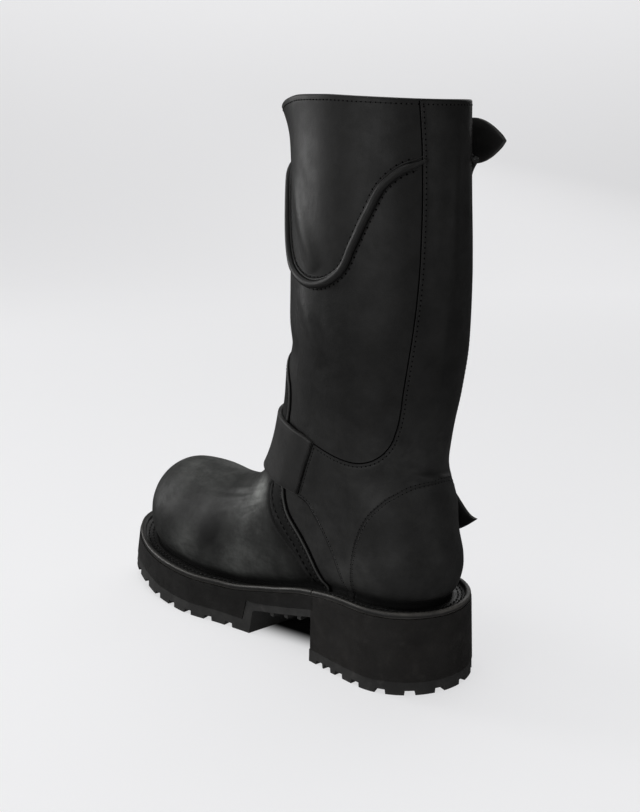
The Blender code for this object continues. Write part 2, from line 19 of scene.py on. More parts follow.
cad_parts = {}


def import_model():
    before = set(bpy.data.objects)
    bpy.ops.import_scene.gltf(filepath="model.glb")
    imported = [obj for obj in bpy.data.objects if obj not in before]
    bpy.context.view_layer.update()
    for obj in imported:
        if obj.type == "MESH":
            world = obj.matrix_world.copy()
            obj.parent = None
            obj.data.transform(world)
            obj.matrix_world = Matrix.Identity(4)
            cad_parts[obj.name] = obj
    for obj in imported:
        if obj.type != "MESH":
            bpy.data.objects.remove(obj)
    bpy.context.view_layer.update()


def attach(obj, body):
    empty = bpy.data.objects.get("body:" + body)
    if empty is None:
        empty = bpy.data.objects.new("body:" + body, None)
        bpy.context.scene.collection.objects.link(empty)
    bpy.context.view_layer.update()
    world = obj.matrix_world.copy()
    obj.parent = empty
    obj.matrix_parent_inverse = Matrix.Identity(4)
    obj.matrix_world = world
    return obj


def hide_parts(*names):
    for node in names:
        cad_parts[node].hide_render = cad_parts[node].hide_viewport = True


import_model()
MM = 0.001

# ------------------------------------------------------------------ main sizes
WELT_LENGTH = 300.0
TOE_CURVE = 3.6            # inward swing of the toe
GAP = 0.3                  # between touching pieces
WALL = 2.4                 # leather and lining of the upper
WELT_THICK = 4.0
WELT_PROUD = 0.5           # the welt stands out past the midsole
INSOLE_RISE = 3.0          # insole above the top of the welt
TREAD_THICK = 8.3
ARCH_SHEET = 5.0           # tread rubber carried under the arch
FOREFOOT_REAR = 141.0      # rear face of the forefoot tread
HEEL_BREAST = 82.0         # front face of the heel
TOPLIFT_THICK = 8.0
TOPLIFT_PROUD = 1.0        # top lift ahead of the heel's front face
LUG_DEEP = 2.8
LUG_GAP = 6.0
LUG_LONG = 15.0
LUG_PITCH = 18.2           # along the edge of the forefoot
LUG_FIRST = 159.2          # station of the rearmost forefoot gap
HEEL_GAPS = (9.7, 28.7, 46.8, 65.0, 79.8, 90.9, 98.8)   # run round the edge from the back of the heel
RIB_STATIONS = (94.0, 106.7, 120.5)
STRAP_THICK = 3.0
PIPING_RADIUS = 2.3
HEEL_ROUND, HEEL_POWER = 40.0, 1.98
TOE_ROUND, TOE_POWER = 100.0, 2.38

# ------------------------------------------------------------------ sole stations
SOLE_COLUMNS = ("station", "medial", "lateral", "welt_top", "ground", "flare")
SOLE = np.array([
    (0.0, 40.9, 40.9, 50.8, 0.0, 1.5),
    (24.0, 40.9, 40.9, 50.8, 0.0, 1.5),
    (54.0, 40.9, 40.9, 50.2, 0.0, 1.4),
    (90.0, 39.8, 41.0, 45.2, 0.0, 1.2),
    (126.0, 40.6, 41.5, 36.2, 0.0, 1.2),
    (165.0, 44.8, 47.5, 28.9, 0.0, 2.6),
    (198.0, 50.6, 54.0, 28.0, 0.0, 3.8),
    (228.0, 51.4, 54.6, 29.2, 1.4, 3.0),
    (250.0, 50.9, 53.4, 31.2, 5.0, 3.0),
    (264.0, 50.0, 52.0, 33.0, 7.2, 3.4),
    (300.0, 47.0, 47.0, 40.0, 10.0, 5.0),
])
# underside of the arch, bottom of its rubber sheet
ARCH_COLUMNS = ("station", "height")
ARCH = np.array([(82.0, 29.3), (113.0, 21.8), (136.0, 17.0)])

# ------------------------------------------------------------------ upper sections
# one row for each section ring, from the feather line to the rim: where the ring
# meets the back profile, where it meets the front profile, and how far it
# follows the sway of the welt between them
RING_COLUMNS = ("s_back", "z_back", "s_front", "z_front", "sway")
RING = np.array([
    (8.4, 50.8, 286.5, 38.0, 1.00),
    (5.2, 60.0, 288.0, 48.5, 0.92),
    (3.4, 70.0, 286.8, 60.0, 0.84),
    (4.2, 78.5, 282.0, 72.0, 0.78),
    (6.4, 85.7, 272.5, 82.0, 0.72),
    (9.4, 92.5, 257.0, 88.6, 0.66),
    (12.5, 99.2, 236.0, 90.0, 0.62),
    (15.3, 106.0, 213.0, 88.2, 0.44),
    (17.2, 113.0, 192.0, 89.8, 0.24),
    (18.2, 121.0, 173.0, 97.0, 0.08),
    (18.2, 130.0, 159.0, 109.2, 0.00),
    (16.8, 142.0, 149.0, 126.0, 0.00),
    (14.0, 156.0, 141.0, 147.0, 0.00),
    (9.5, 175.0, 134.5, 171.0, 0.00),
    (5.5, 205.0, 130.0, 203.0, 0.00),
    (4.6, 245.0, 127.5, 244.0, 0.00),
    (6.5, 290.0, 126.3, 288.0, 0.00),
    (7.6, 320.0, 127.5, 317.0, 0.00),
    (8.6, 341.5, 135.0, 336.0, 0.00),
])
SHAFT_COLUMNS = ("height", "half_width")
SHAFT = np.array([(50.0, 34.0), (100.0, 36.5), (130.0, 37.5), (150.0, 39.0), (180.0, 42.0),
                  (220.0, 44.8), (270.0, 45.8), (320.0, 45.2), (342.0, 46.0)])
# radius that rounds the section over towards the front profile, and how far the
# upper sits inside the edge of the welt
FOOT_COLUMNS = ("station", "front_round", "feather")
FOOT = np.array([(0.0, 60.0, 5.5), (60.0, 60.0, 6.0), (120.0, 60.0, 6.5), (150.0, 56.0, 7.0),
                 (200.0, 51.0, 8.0), (260.0, 50.0, 11.0), (300.0, 50.0, 12.0)])
RIM_COLUMNS = ("share_back_to_front", "medial_rise", "lateral_rise")
RIM = np.array([(0.0, 0.0, 0.0), (0.25, 3.7, 2.0), (0.45, 6.2, 3.4), (0.62, 7.0, 4.0),
                (0.75, 5.2, 3.3), (0.863, 2.3, 1.6), (1.0, 0.0, 0.0)])

# ------------------------------------------------------------------ straps and trim
# angle runs around the leg: 0 at the back, 90 medial, 180 front, 270 lateral
STRAP_COLUMNS = ("angle", "low", "high")
ANKLE_STRAP = np.array([(91.0, 103.6, 141.5), (103.0, 105.3, 145.5), (119.0, 106.8, 148.5),
                        (135.0, 108.0, 149.8), (180.0, 110.0, 151.5), (210.0, 109.0, 149.0),
                        (238.0, 105.0, 136.0), (254.0, 101.5, 129.5), (265.0, 98.2, 126.2),
                        (288.0, 90.5, 118.5)])
TOP_STRAP = np.array([(206.0, 305.5, 332.5), (288.0, 305.5, 332.5)])
TAIL_COLUMNS = ("x", "s", "z")
ANKLE_TIP = (-46.5, 26.0, 88.5)
TOP_TIP = (-50.5, 16.5, 319.5)
BUCKLE_COLUMNS = ("front_bar", "rear_bar")
ANKLE_BUCKLE = (254.0, 274.0)
TOP_BUCKLE = (256.0, 274.0)
BUCKLE_WIRE = 1.6
BUCKLE_HALF = 18.5          # half the frame across the band
PRONG_WIRE = 1.0
# angle from the back, one table for each side
PIPING_COLUMNS = ("angle", "height")
PIPING = np.array([(26.5, 309.0), (38.0, 305.2), (48.0, 298.0), (58.0, 281.8), (67.0, 264.0),
                   (76.0, 248.0), (86.0, 241.6), (98.0, 239.3), (109.0, 241.6), (119.5, 247.0),
                   (128.0, 257.0), (134.5, 271.0), (140.0, 287.0), (146.0, 298.0), (160.0, 305.5),
                   (180.0, 308.0)])
PIPING_OUTER = np.array([(26.5, 309.5), (40.0, 309.0), (52.0, 304.5), (62.0, 290.0), (70.0, 272.0),
                         (78.0, 255.0), (90.0, 243.0), (103.0, 239.5), (115.0, 242.5), (126.0, 253.0),
                         (136.0, 270.0), (146.0, 286.0), (160.0, 300.0), (180.0, 308.0)])

# ------------------------------------------------------------------ small tools


def curve(table, column, at):
    """Monotone cubic through one column of a table, read along its first column."""
    xs, ys = table[:, 0], table[:, column]
    at = np.clip(np.asarray(at, float), xs[0], xs[-1])
    step = np.diff(xs)
    slope = np.diff(ys) / step
    m = np.zeros_like(ys)
    for i in range(1, len(xs) - 1):
        if slope[i - 1] * slope[i] > 0:
            a, b = 2 * step[i] + step[i - 1], step[i] + 2 * step[i - 1]
            m[i] = (a + b) / (a / slope[i - 1] + b / slope[i])
    m[0], m[-1] = slope[0], slope[-1]
    i = np.clip(np.searchsorted(xs, at, side="right") - 1, 0, len(xs) - 2)
    t = (at - xs[i]) / step[i]
    return (ys[i] * (1 + 2 * t) * (1 - t) ** 2 + m[i] * step[i] * t * (1 - t) ** 2
            + ys[i + 1] * t * t * (3 - 2 * t) + m[i + 1] * step[i] * t * t * (t - 1))


def ease(a, b, x):
    t = np.clip((np.asarray(x, float) - a) / (b - a), 0, 1)
    return t * t * (3 - 2 * t)


def station(name, s):
    return curve(SOLE, SOLE_COLUMNS.index(name), s)


def centre(s):
    """Middle of the sole, which swings inward towards the toe."""
    return TOE_CURVE * np.sin(np.clip((np.asarray(s, float) - 75) / 225, 0, 1) * math.pi / 2) ** 2


def outline(angle, grow=0.0):
    """Sole outline in plan; angle 0 at the heel, pi at the toe.  grow is the
    share of the flare that is added all round."""
    angle = np.asarray(angle, float)
    back, front = -grow * SOLE[0, 5], WELT_LENGTH + grow * SOLE[-1, 5]
    s = back + (front - back) * (1 - np.cos(angle)) / 2
    heel = np.clip((s - back) / HEEL_ROUND, 0, 1)
    toe = np.clip((front - s) / TOE_ROUND, 0, 1)
    close = ((1 - (1 - heel) ** HEEL_POWER) ** (1 / HEEL_POWER)
             * (1 - (1 - toe) ** TOE_POWER) ** (1 / TOE_POWER))
    more = grow * station("flare", s)
    half = np.where(np.sin(angle) >= 0, station("medial", s) + more, -station("lateral", s) - more)
    return centre(s) + half * close, s


TURN = np.linspace(0, 2 * math.pi, 361)
_x, _s = outline(TURN, 1.0)
X_MIDDLE = (_x.max() + _x.min()) / 2
S_MIDDLE = (_s.max() + _s.min()) / 2


def world(points):
    p = np.asarray(points, float)
    return np.stack([p[..., 0] - X_MIDDLE, S_MIDDLE - p[..., 1], p[..., 2]], -1) * MM


# ------------------------------------------------------------------ upper's own form


def row(name, v):
    """A ring column read at v, from 0 at the feather line to 1 at the rim."""
    n = len(RING) - 1
    table = np.column_stack([np.arange(n + 1), RING])
    return curve(table, 1 + RING_COLUMNS.index(name), np.asarray(v, float) * n)


_v = np.linspace(0, 1, 500)
FRONT = np.stack([row("s_front", _v), row("z_front", _v)], -1)
BACK = np.stack([row("s_back", _v), row("z_back", _v)], -1)


def away(profile, s, z):
    """Side-view distance from a profile line."""
    p = np.stack([s, z], -1).reshape(-1, 1, 2)
    a, ab = profile[None, :-1], (profile[1:] - profile[:-1])[None]
    out = np.empty(len(p))
    for i in range(0, len(p), 1000):
        q = p[i:i + 1000]
        t = np.clip(((q - a) * ab).sum(-1) / (ab ** 2).sum(-1), 0, 1)
        out[i:i + 1000] = np.sqrt((((a + t[..., None] * ab) - q) ** 2).sum(-1)).min(1)
    return out.reshape(np.shape(s))


def bow(distance, radius):
    return np.sqrt(np.maximum(0, 1 - (1 - np.minimum(distance / radius, 1)) ** 2))


def skin(v, angle):
    """Outer face of the upper at ring v and angle (radians), as x, s, z."""
    v, angle = np.broadcast_arrays(np.asarray(v, float), np.asarray(angle, float))
    sb, zb, sf, zf, sway = (row(c, v) for c in RING_COLUMNS)
    g = (1 - np.cos(angle)) / 2
    medial = np.sin(angle) >= 0
    s = sb + (sf - sb) * g
    chord = RING[0, 1] + (RING[0, 3] - RING[0, 1]) * (s - RING[0, 0]) / (RING[0, 2] - RING[0, 0])
    share = np.sin(angle) ** 2
    share = share + (1 - share) * (1 - ease(0, 0.12, v))
    z = (zf + (zb - zf) * (1 - g) ** 1.6 + sway * (station("welt_top", s) - chord) * share
         + np.where(medial, curve(RIM, 1, g), curve(RIM, 2, g)) * ease(0.86, 1.0, v))
    foot = np.where(medial, station("medial", s), station("lateral", s)) - curve(FOOT, 2, s)
    up = ease(60, 150, z + 0.35 * (120 - np.minimum(s, 120)))
    width = foot * (1 - up) + curve(SHAFT, 1, z) * up
    tuck = 1 - 0.06 * (1 - ease(0, 16, z - station("welt_top", s)))
    width = width * tuck * bow(away(FRONT, s, z), curve(FOOT, 1, s)) \
        * bow(away(BACK, s, z), 40 + 20 * ease(100, 190, z))
    width = np.where(np.abs(np.sin(angle)) < 1e-9, 0, width)
    x = centre(s) * np.clip(1 - (z - 60) / 80, 0, 1) + np.where(medial, width, -width)
    return np.stack([x, s, z], -1)


# ------------------------------------------------------------------ the face, on a fine grid
ROW_STEP = 1.36             # between grid rows, as a mean round the leg
TURNS = 360
_probe = np.linspace(0, 1, 700)
_lines = skin(_probe[:, None], np.radians([0.0, 60.0, 90.0, 120.0, 180.0])[None])
_run = np.concatenate([[0], np.cumsum(np.linalg.norm(np.diff(_lines, axis=0), axis=-1).mean(1))])
BELOW = 3                   # rows that carry on under the welt
V_ROWS = np.interp(np.arange(0, _run[-1], ROW_STEP), _run, _probe)
V_ROWS[-1] = 1.0
ROWS = len(V_ROWS) + BELOW
TOP = float(ROWS - 1)
HEM = 0.6                   # grid row at which panels end, under the welt
ANGLES = np.linspace(0, 2 * math.pi, TURNS, endpoint=False)


def smooth_rows(grid, times):
    """Evens out a grid along and across its lines, its end rows left alone."""
    for _ in range(times):
        mean = (np.roll(grid, 1, 1) + np.roll(grid, -1, 1)) / 2
        grid = grid * 0.5 + mean * 0.5
        inner = grid[1:-1] * 0.5 + (grid[2:] + grid[:-2]) * 0.25
        grid = np.concatenate([grid[:1], inner, grid[-1:]])
    return grid


GRID = smooth_rows(skin(V_ROWS[:, None], ANGLES[None]), 3)
_foot = np.repeat(GRID[:1], BELOW, 0)
_foot[:, :, 2] = np.minimum(GRID[0, :, 2], station("welt_top", GRID[0, :, 1])) - np.array([3.9, 2.6, 1.3])[:, None]
GRID = np.concatenate([_foot, GRID])
_along = np.gradient(GRID, axis=0)
_round = (np.roll(GRID, -1, 1) - np.roll(GRID, 1, 1)) / 2
NORMAL = np.cross(_round, _along)
NORMAL /= np.linalg.norm(NORMAL, axis=-1, keepdims=True)
NORMAL = smooth_rows(NORMAL, 2)
NORMAL /= np.linalg.norm(NORMAL, axis=-1, keepdims=True)


def weights(t):
    return np.stack([-0.5 * t + t * t - 0.5 * t ** 3, 1 - 2.5 * t * t + 1.5 * t ** 3,
                     0.5 * t + 2 * t * t - 1.5 * t ** 3, -0.5 * t * t + 0.5 * t ** 3], -1)


def read(grid, at):
    """A grid read smoothly at places (angle in radians, row)."""
    at = np.asarray(at, float)
    flat = at.reshape(-1, 2)
    column = flat[:, 0] / (2 * math.pi) * TURNS
    line = np.clip(flat[:, 1], 0, TOP)
    j, i = np.floor(column).astype(int), np.minimum(np.floor(line).astype(int), ROWS - 2)
    wj, wi = weights(column - j), weights(line - i)
    grid = np.concatenate([2 * grid[:1] - grid[1:2], grid, 2 * grid[-1:] - grid[-2:-1]])
    out = np.zeros((len(flat), grid.shape[2]))
    for a in range(4):
        for b in range(4):
            out += (wi[:, a] * wj[:, b])[:, None] * grid[i + a, (j + b - 1) % TURNS]
    return out.reshape(at.shape[:-1] + (grid.shape[2],))


def face(at):
    return read(GRID, at)


def normal(at):
    n = read(NORMAL, at)
    return n / np.linalg.norm(n, axis=-1, keepdims=True)


LOW_ROW = BELOW + float(np.interp(0.3, V_ROWS, np.arange(len(V_ROWS))))


def level(degrees, height):
    """Places at heights on the face, for angles round the leg."""
    angle, height = np.broadcast_arrays(np.radians(np.asarray(degrees, float)), np.asarray(height, float))
    lo, hi = np.full(angle.shape, LOW_ROW), np.full(angle.shape, TOP)
    for _ in range(24):
        mid = (lo + hi) / 2
        under = face(np.stack([angle, mid], -1))[..., 2] < height
        lo, hi = np.where(under, mid, lo), np.where(under, hi, mid)
    return np.stack([angle, (lo + hi) / 2], -1)


_half = TURNS // 2 + 1
_side = GRID[BELOW:, :_half, 1:3]


def through(rows, spacing=2.0):
    """Smooth run of points through the rows of a short table."""
    rows = np.asarray(rows, float)
    run = np.concatenate([[0], np.cumsum(np.linalg.norm(np.diff(rows, axis=0), axis=-1))])
    slope = np.gradient(rows, run, axis=0) if len(rows) > 2 else np.repeat(np.diff(rows, axis=0) / run[-1], 2, 0)
    at = np.linspace(0, run[-1], max(3, int(run[-1] / spacing) + 1))
    i = np.clip(np.searchsorted(run, at, side="right") - 1, 0, len(run) - 2)
    gap = (run[i + 1] - run[i])[:, None]
    t = (at[:, None] - run[i][:, None]) / gap
    return (rows[i] * (1 + 2 * t) * (1 - t) ** 2 + slope[i] * gap * t * (1 - t) ** 2
            + rows[i + 1] * t * t * (3 - 2 * t) + slope[i + 1] * gap * t * t * (t - 1))


def beside(table):
    """Places on the medial face along rows of (s, z), as seen from the side."""
    want = through(table)
    at = np.empty_like(want)
    for k, (s, z) in enumerate(want):
        i, j = np.unravel_index(np.argmin(((_side - (s, z)) ** 2).sum(-1)), _side.shape[:2])
        at[k] = ANGLES[j], i + BELOW
    for _ in range(7):
        here = face(at)[:, 1:3]
        da = (face(at + [1e-3, 0])[:, 1:3] - here) / 1e-3
        dw = (face(at + [0, 0.05])[:, 1:3] - here) / 0.05
        gap = want - here
        det = da[:, 0] * dw[:, 1] - da[:, 1] * dw[:, 0]
        det = np.where(np.abs(det) < 1e-3, 1e-3, det)
        step = np.stack([(gap[:, 0] * dw[:, 1] - gap[:, 1] * dw[:, 0]) / det,
                         (da[:, 0] * gap[:, 1] - da[:, 1] * gap[:, 0]) / det], -1)
        at = at + np.clip(step, [-0.03, -2], [0.03, 2])
        at = np.clip(at, [0.002, BELOW], [math.pi - 0.002, TOP])
    return at


def round_leg(table):
    """Places along rows of (angle, z)."""
    rows = through(np.asarray(table, float) * [1.0, 1.3])
    return level(rows[:, 0], rows[:, 1] / 1.3)


def lateral(places):
    """The same places on the other side of the boot."""
    return np.asarray(places) * [-1, 1]


def length_along(points):
    return np.concatenate([[0], np.cumsum(np.linalg.norm(np.diff(points, axis=0), axis=-1))])


def flow(places, spacing):
    """Smooth line on the face through places, evenly spaced in millimetres."""
    places = np.asarray(places, float)
    if len(places) > 2:
        run = length_along(face(places))
        table = np.column_stack([run, places])
        slope = np.gradient(places, run, axis=0)
        fine = np.linspace(0, run[-1], max(40, len(places) * 6))
        i = np.clip(np.searchsorted(run, fine, side="right") - 1, 0, len(run) - 2)
        gap = (run[i + 1] - run[i])[:, None]
        t = (fine[:, None] - run[i][:, None]) / gap
        places = (places[i] * (1 + 2 * t) * (1 - t) ** 2 + slope[i] * gap * t * (1 - t) ** 2
                  + places[i + 1] * t * t * (3 - 2 * t) + slope[i + 1] * gap * t * t * (t - 1))
    else:
        places = places[0] + (places[1] - places[0]) * np.linspace(0, 1, 60)[:, None]
    run = length_along(face(places))
    even = np.linspace(0, run[-1], max(2, int(round(run[-1] / spacing)) + 1))
    return np.stack([np.interp(even, run, places[:, k]) for k in (0, 1)], -1)


def shift(line, distance):
    """A line on the face moved sideways over it in short steps."""
    steps = max(1, math.ceil(abs(distance) / 0.8))
    for _ in range(steps):
        line = nudge(line, distance / steps)
    return line


def nudge(line, distance):
    p = face(line)
    along = np.gradient(p, axis=0)
    along /= np.linalg.norm(along, axis=-1, keepdims=True)
    aside = np.cross(along, normal(line)) * distance
    da = (face(line + [1e-3, 0]) - p) / 1e-3
    lo, hi = np.maximum(line[:, 1] - 0.02, 0), np.minimum(line[:, 1] + 0.02, TOP)
    dw = (face(np.stack([line[:, 0], hi], -1)) - face(np.stack([line[:, 0], lo], -1))) / (hi - lo)[:, None]
    aa, bb, ab = (da * da).sum(-1), (dw * dw).sum(-1), (da * dw).sum(-1)
    ra, rb = (da * aside).sum(-1), (dw * aside).sum(-1)
    det = aa * bb - ab * ab
    moved = line + np.stack([(ra * bb - rb * ab) / det, (rb * aa - ra * ab) / det], -1)
    moved[1:-1] = moved[1:-1] * 0.8 + (moved[2:] + moved[:-2]) * 0.1
    return moved


def to_line(points, line):
    """Distance of points from a run of points, both in millimetres."""
    a, ab = line[:-1], np.diff(line, axis=0)
    size = np.maximum((ab * ab).sum(-1), 1e-9)
    out = np.empty(len(points))
    for k in range(0, len(points), 2000):
        q = points[k:k + 2000, None] - a[None]
        t = np.clip((q * ab[None]).sum(-1) / size[None], 0, 1)
        out[k:k + 2000] = np.sqrt(((q - t[..., None] * ab[None]) ** 2).sum(-1).min(1))
    return out


def within(points, loop):
    """Which points of a plane lie inside a closed loop."""
    a, b = loop, np.roll(loop, -1, 0)
    inside = np.zeros(len(points), bool)
    for k in range(0, len(points), 4000):
        x, y = points[k:k + 4000, 0][:, None], points[k:k + 4000, 1][:, None]
        spans = (a[None, :, 1] > y) != (b[None, :, 1] > y)
        dy = np.where(b[:, 1] == a[:, 1], 1e-12, b[:, 1] - a[:, 1])
        cross = a[None, :, 0] + (y - a[None, :, 1]) * ((b - a)[:, 0] / dy)[None]
        inside[k:k + 4000] = (spans & (x < cross)).sum(1) % 2 == 1
    return inside


# ------------------------------------------------------------------ meshes
SHOWN = bpy.data.collections.new("boot_looks")
bpy.context.scene.collection.children.link(SHOWN)


def add(name, points, faces, mat, outward=None, attributes=None, flat=False):
    """A piece from millimetre points; its faces are turned to agree with outward."""
    mesh = bpy.data.meshes.new(name)
    mesh.from_pydata(world(points).tolist(), [], faces if isinstance(faces, list) else faces.tolist())
    mesh.update()
    if outward is not None:
        n = np.empty(len(mesh.polygons) * 3)
        mesh.polygons.foreach_get("normal", n)
        first = np.empty(len(mesh.polygons), int)
        mesh.polygons.foreach_get("loop_start", first)
        corner = np.empty(len(mesh.loops), int)
        mesh.loops.foreach_get("vertex_index", corner)
        if (n.reshape(-1, 3) * (np.asarray(outward) * [1, -1, 1])[corner[first]]).sum() < 0:
            mesh.flip_normals()
    else:
        bm = bmesh.new()
        bm.from_mesh(mesh)
        bmesh.ops.recalc_face_normals(bm, faces=bm.faces)
        bm.to_mesh(mesh)
        bm.free()
    for key, values in (attributes or {}).items():
        layer = mesh.attributes.new(key, "FLOAT", "POINT")
        layer.data.foreach_set("value", np.asarray(values, np.float32))
    if not flat:
        mesh.shade_smooth()
    thing = bpy.data.objects.new(name, mesh)
    SHOWN.objects.link(thing)
    mesh.materials.append(mat)
    return thing


def quads(rows, columns, wrap_rows, wrap_columns, start=0):
    i = np.arange(rows if wrap_rows else rows - 1)[:, None]
    j = np.arange(columns if wrap_columns else columns - 1)[None]
    k, m = (i + 1) % rows, (j + 1) % columns
    return np.stack([i * columns + j, i * columns + m, k * columns + m, k * columns + j], -1).reshape(-1, 4) + start


def sections(name, rings, mat, closed=False, attributes=None):
    """Solid skinned through rings of points; open ends are capped."""
    rings = np.asarray(rings)
    rows, columns = rings.shape[:2]
    points = rings.reshape(-1, 3)
    faces = quads(rows, columns, closed, True).tolist()
    if not closed:
        ends = np.stack([rings[0].mean(0), rings[-1].mean(0)])
        points = np.concatenate([points, ends])
        for j in range(columns):
            faces.append([(j + 1) % columns, j, rows * columns])
            faces.append([(rows - 1) * columns + j, (rows - 1) * columns + (j + 1) % columns, rows * columns + 1])
        attributes = {k: np.concatenate([np.asarray(v).reshape(-1), np.asarray(v).reshape(-1)[[0, -1]]])
                      for k, v in (attributes or {}).items()}
    return add(name, points, faces, mat, attributes=attributes)


def bar_rings(path, radius, sides, closed=False, up=None):
    """Rings of a round bar along a path; radius may change along it."""
    path = np.asarray(path, float)
    along = (np.roll(path, -1, 0) - np.roll(path, 1, 0)) if closed else np.gradient(path, axis=0)
    along /= np.linalg.norm(along, axis=-1, keepdims=True)
    if up is None:
        up = np.empty_like(path)
        first = np.cross(along[0], [0.3, 0.5, 0.8])
        up[0] = first / np.linalg.norm(first)
        for k in range(1, len(path)):
            turned = up[k - 1] - along[k] * (up[k - 1] @ along[k])
            up[k] = turned / np.linalg.norm(turned)
    aside = np.cross(along, up)
    turn = np.linspace(0, 2 * math.pi, sides, endpoint=False)
    radius = np.broadcast_to(np.asarray(radius, float), (len(path),))
    return path[:, None] + radius[:, None, None] * (np.cos(turn)[None, :, None] * up[:, None]
                                                    + np.sin(turn)[None, :, None] * aside[:, None])


def round_ends(path, radius, steps=4):
    """A path and its radii, with domed ends."""
    path = np.asarray(path, float)
    turn = np.linspace(0, math.pi / 2, steps + 1)[1:]
    head, tail = path[0] - path[1], path[-1] - path[-2]
    head, tail = head / np.linalg.norm(head), tail / np.linalg.norm(tail)
    before = [path[0] + head * radius * math.sin(t) for t in turn[::-1]]
    after = [path[-1] + tail * radius * math.sin(t) for t in turn]
    r = [radius * max(math.cos(t), 0.06) for t in turn]
    return np.array(before + list(path) + after), np.array(r[::-1] + [radius] * len(path) + r)


class Thread:
    """Collects stitches, which become one joined mesh."""

    def __init__(self, name, mat):
        self.name, self.mat, self.points, self.faces, self.count = name, mat, [], [], 0

    def sew(self, path, up, pitch, length, width, height, start=0.5, sides=6):
        """Short round-backed stitches along a path of points with an up direction."""
        run = length_along(path)
        many = max(1, int(run[-1] / pitch))
        where = (np.arange(many) + start) * (run[-1] / many)
        sample = lambda values, at: np.stack([np.interp(at, run, values[:, k]) for k in range(3)], -1)
        spot, ahead, behind = (sample(path, where + d) for d in (0, 0.4 * length, -0.4 * length))
        along = ahead - behind
        along /= np.linalg.norm(along, axis=-1, keepdims=True)
        over = sample(up, where)
        over -= along * (over * along).sum(-1, keepdims=True)
        over /= np.linalg.norm(over, axis=-1, keepdims=True)
        aside = np.cross(along, over)
        shares = np.array([-1, -0.82, -0.4, 0.4, 0.82, 1])
        swell = np.sqrt(np.maximum(0, 1 - np.abs(shares) ** 3)) * 0.92 + 0.08
        dip = 0.9 * np.abs(shares) ** 4 * height
        turn = np.linspace(0, 2 * math.pi, sides, endpoint=False)
        ring = (spot[:, None, None] + along[:, None, None] * (shares * length / 2)[None, :, None, None]
                + aside[:, None, None] * (np.sin(turn)[None, None, :, None] * (swell * width / 2)[None, :, None, None])
                + over[:, None, None] * ((np.cos(turn)[None, None, :] * (swell * height / 2)[None, :, None]
                                          - dip[None, :, None])[..., None]))
        rows = len(shares)
        one = quads(rows, sides, False, True).tolist() + [list(range(sides))[::-1],
                                                          list(range((rows - 1) * sides, rows * sides))]
        for k in range(many):
            base = self.count + k * rows * sides
            self.faces += [[base + i for i in f] for f in one]
        self.points.append(ring.reshape(-1, 3))
        self.count += many * rows * sides

    def on_face(self, line, lift, pitch=3.0, length=2.2, width=0.75, height=0.6, start=0.5):
        n = normal(line)
        p = face(line)
        lift = np.broadcast_to(np.asarray(lift, float), (len(line),))
        self.sew(p + n * (lift + relief(p))[:, None], n, pitch, length, width, height, start)

    def made(self):
        thing = add(self.name, np.concatenate(self.points), self.faces, self.mat)
        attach(thing, "root")
        return thing


# ------------------------------------------------------------------ finishes
def start(name):
    m = bpy.data.materials.new(name)
    m.use_nodes = True
    return m, m.node_tree, m.node_tree.nodes["Principled BSDF"]


def put(tree, kind, settings=None, **inputs):
    n = tree.nodes.new(kind)
    for key, value in (settings or {}).items():
        setattr(n, key, value)
    for key, value in inputs.items():
        n.inputs[key.replace("_", " ")].default_value = value
    return n


def noise(tree, scale, detail=3.0, rough=0.55, stretch=None):
    """Noise in the boot's own metres; scale is patches to the metre."""
    place = tree.nodes.new("ShaderNodeTexCoord").outputs["Object"]
    if stretch is not None:
        mapping = put(tree, "ShaderNodeMapping", Scale=stretch)
        tree.links.new(place, mapping.inputs["Vector"])
        place = mapping.outputs["Vector"]
    n = put(tree, "ShaderNodeTexNoise", Scale=scale, Detail=detail, Roughness=rough)
    tree.links.new(place, n.inputs["Vector"])
    return n.outputs["Fac"]


def cells(tree, scale, smooth=0.6):
    place = tree.nodes.new("ShaderNodeTexCoord").outputs["Object"]
    n = put(tree, "ShaderNodeTexVoronoi", {"feature": "SMOOTH_F1"}, Scale=scale, Smoothness=smooth)
    tree.links.new(place, n.inputs["Vector"])
    return n.outputs["Distance"]


def spread(tree, value, low, high, to_low=0.0, to_high=1.0):
    n = put(tree, "ShaderNodeMapRange", {"interpolation_type": "SMOOTHSTEP"})
    for k, v in zip(("From Min", "From Max", "To Min", "To Max"), (low, high, to_low, to_high)):
        n.inputs[k].default_value = v
    tree.links.new(value, n.inputs["Value"])
    return n.outputs["Result"]


def sums(tree, operation, a, b):
    n = put(tree, "ShaderNodeMath", {"operation": operation})
    for socket, value in zip(n.inputs, (a, b)):
        if isinstance(value, (int, float)):
            socket.default_value = value
        else:
            tree.links.new(value, socket)
    return n.outputs[0]


def blend(tree, share, a, b):
    """Colour a to colour b; either may be a colour or a socket."""
    n = put(tree, "ShaderNodeMix", {"data_type": "RGBA"})
    tree.links.new(share, n.inputs["Factor"])
    for socket, value in zip((n.inputs[6], n.inputs[7]), (a, b)):
        if isinstance(value, tuple):
            socket.default_value = (*value, 1)
        else:
            tree.links.new(value, socket)
    return n.outputs[2]


def attribute(tree, name):
    return put(tree, "ShaderNodeAttribute", {"attribute_name": name, "attribute_type": "GEOMETRY"}).outputs["Fac"]


def bumped(tree, shader, layers):
    """Chain of bumps: (height socket, depth in millimetres, strength)."""
    last = None
    for height, depth, strength in layers:
        n = put(tree, "ShaderNodeBump", Distance=depth * MM, Strength=strength)
        tree.links.new(height, n.inputs["Height"])
        if last is not None:
            tree.links.new(last, n.inputs["Normal"])
        last = n.outputs["Normal"]
    tree.links.new(last, shader.inputs["Normal"])


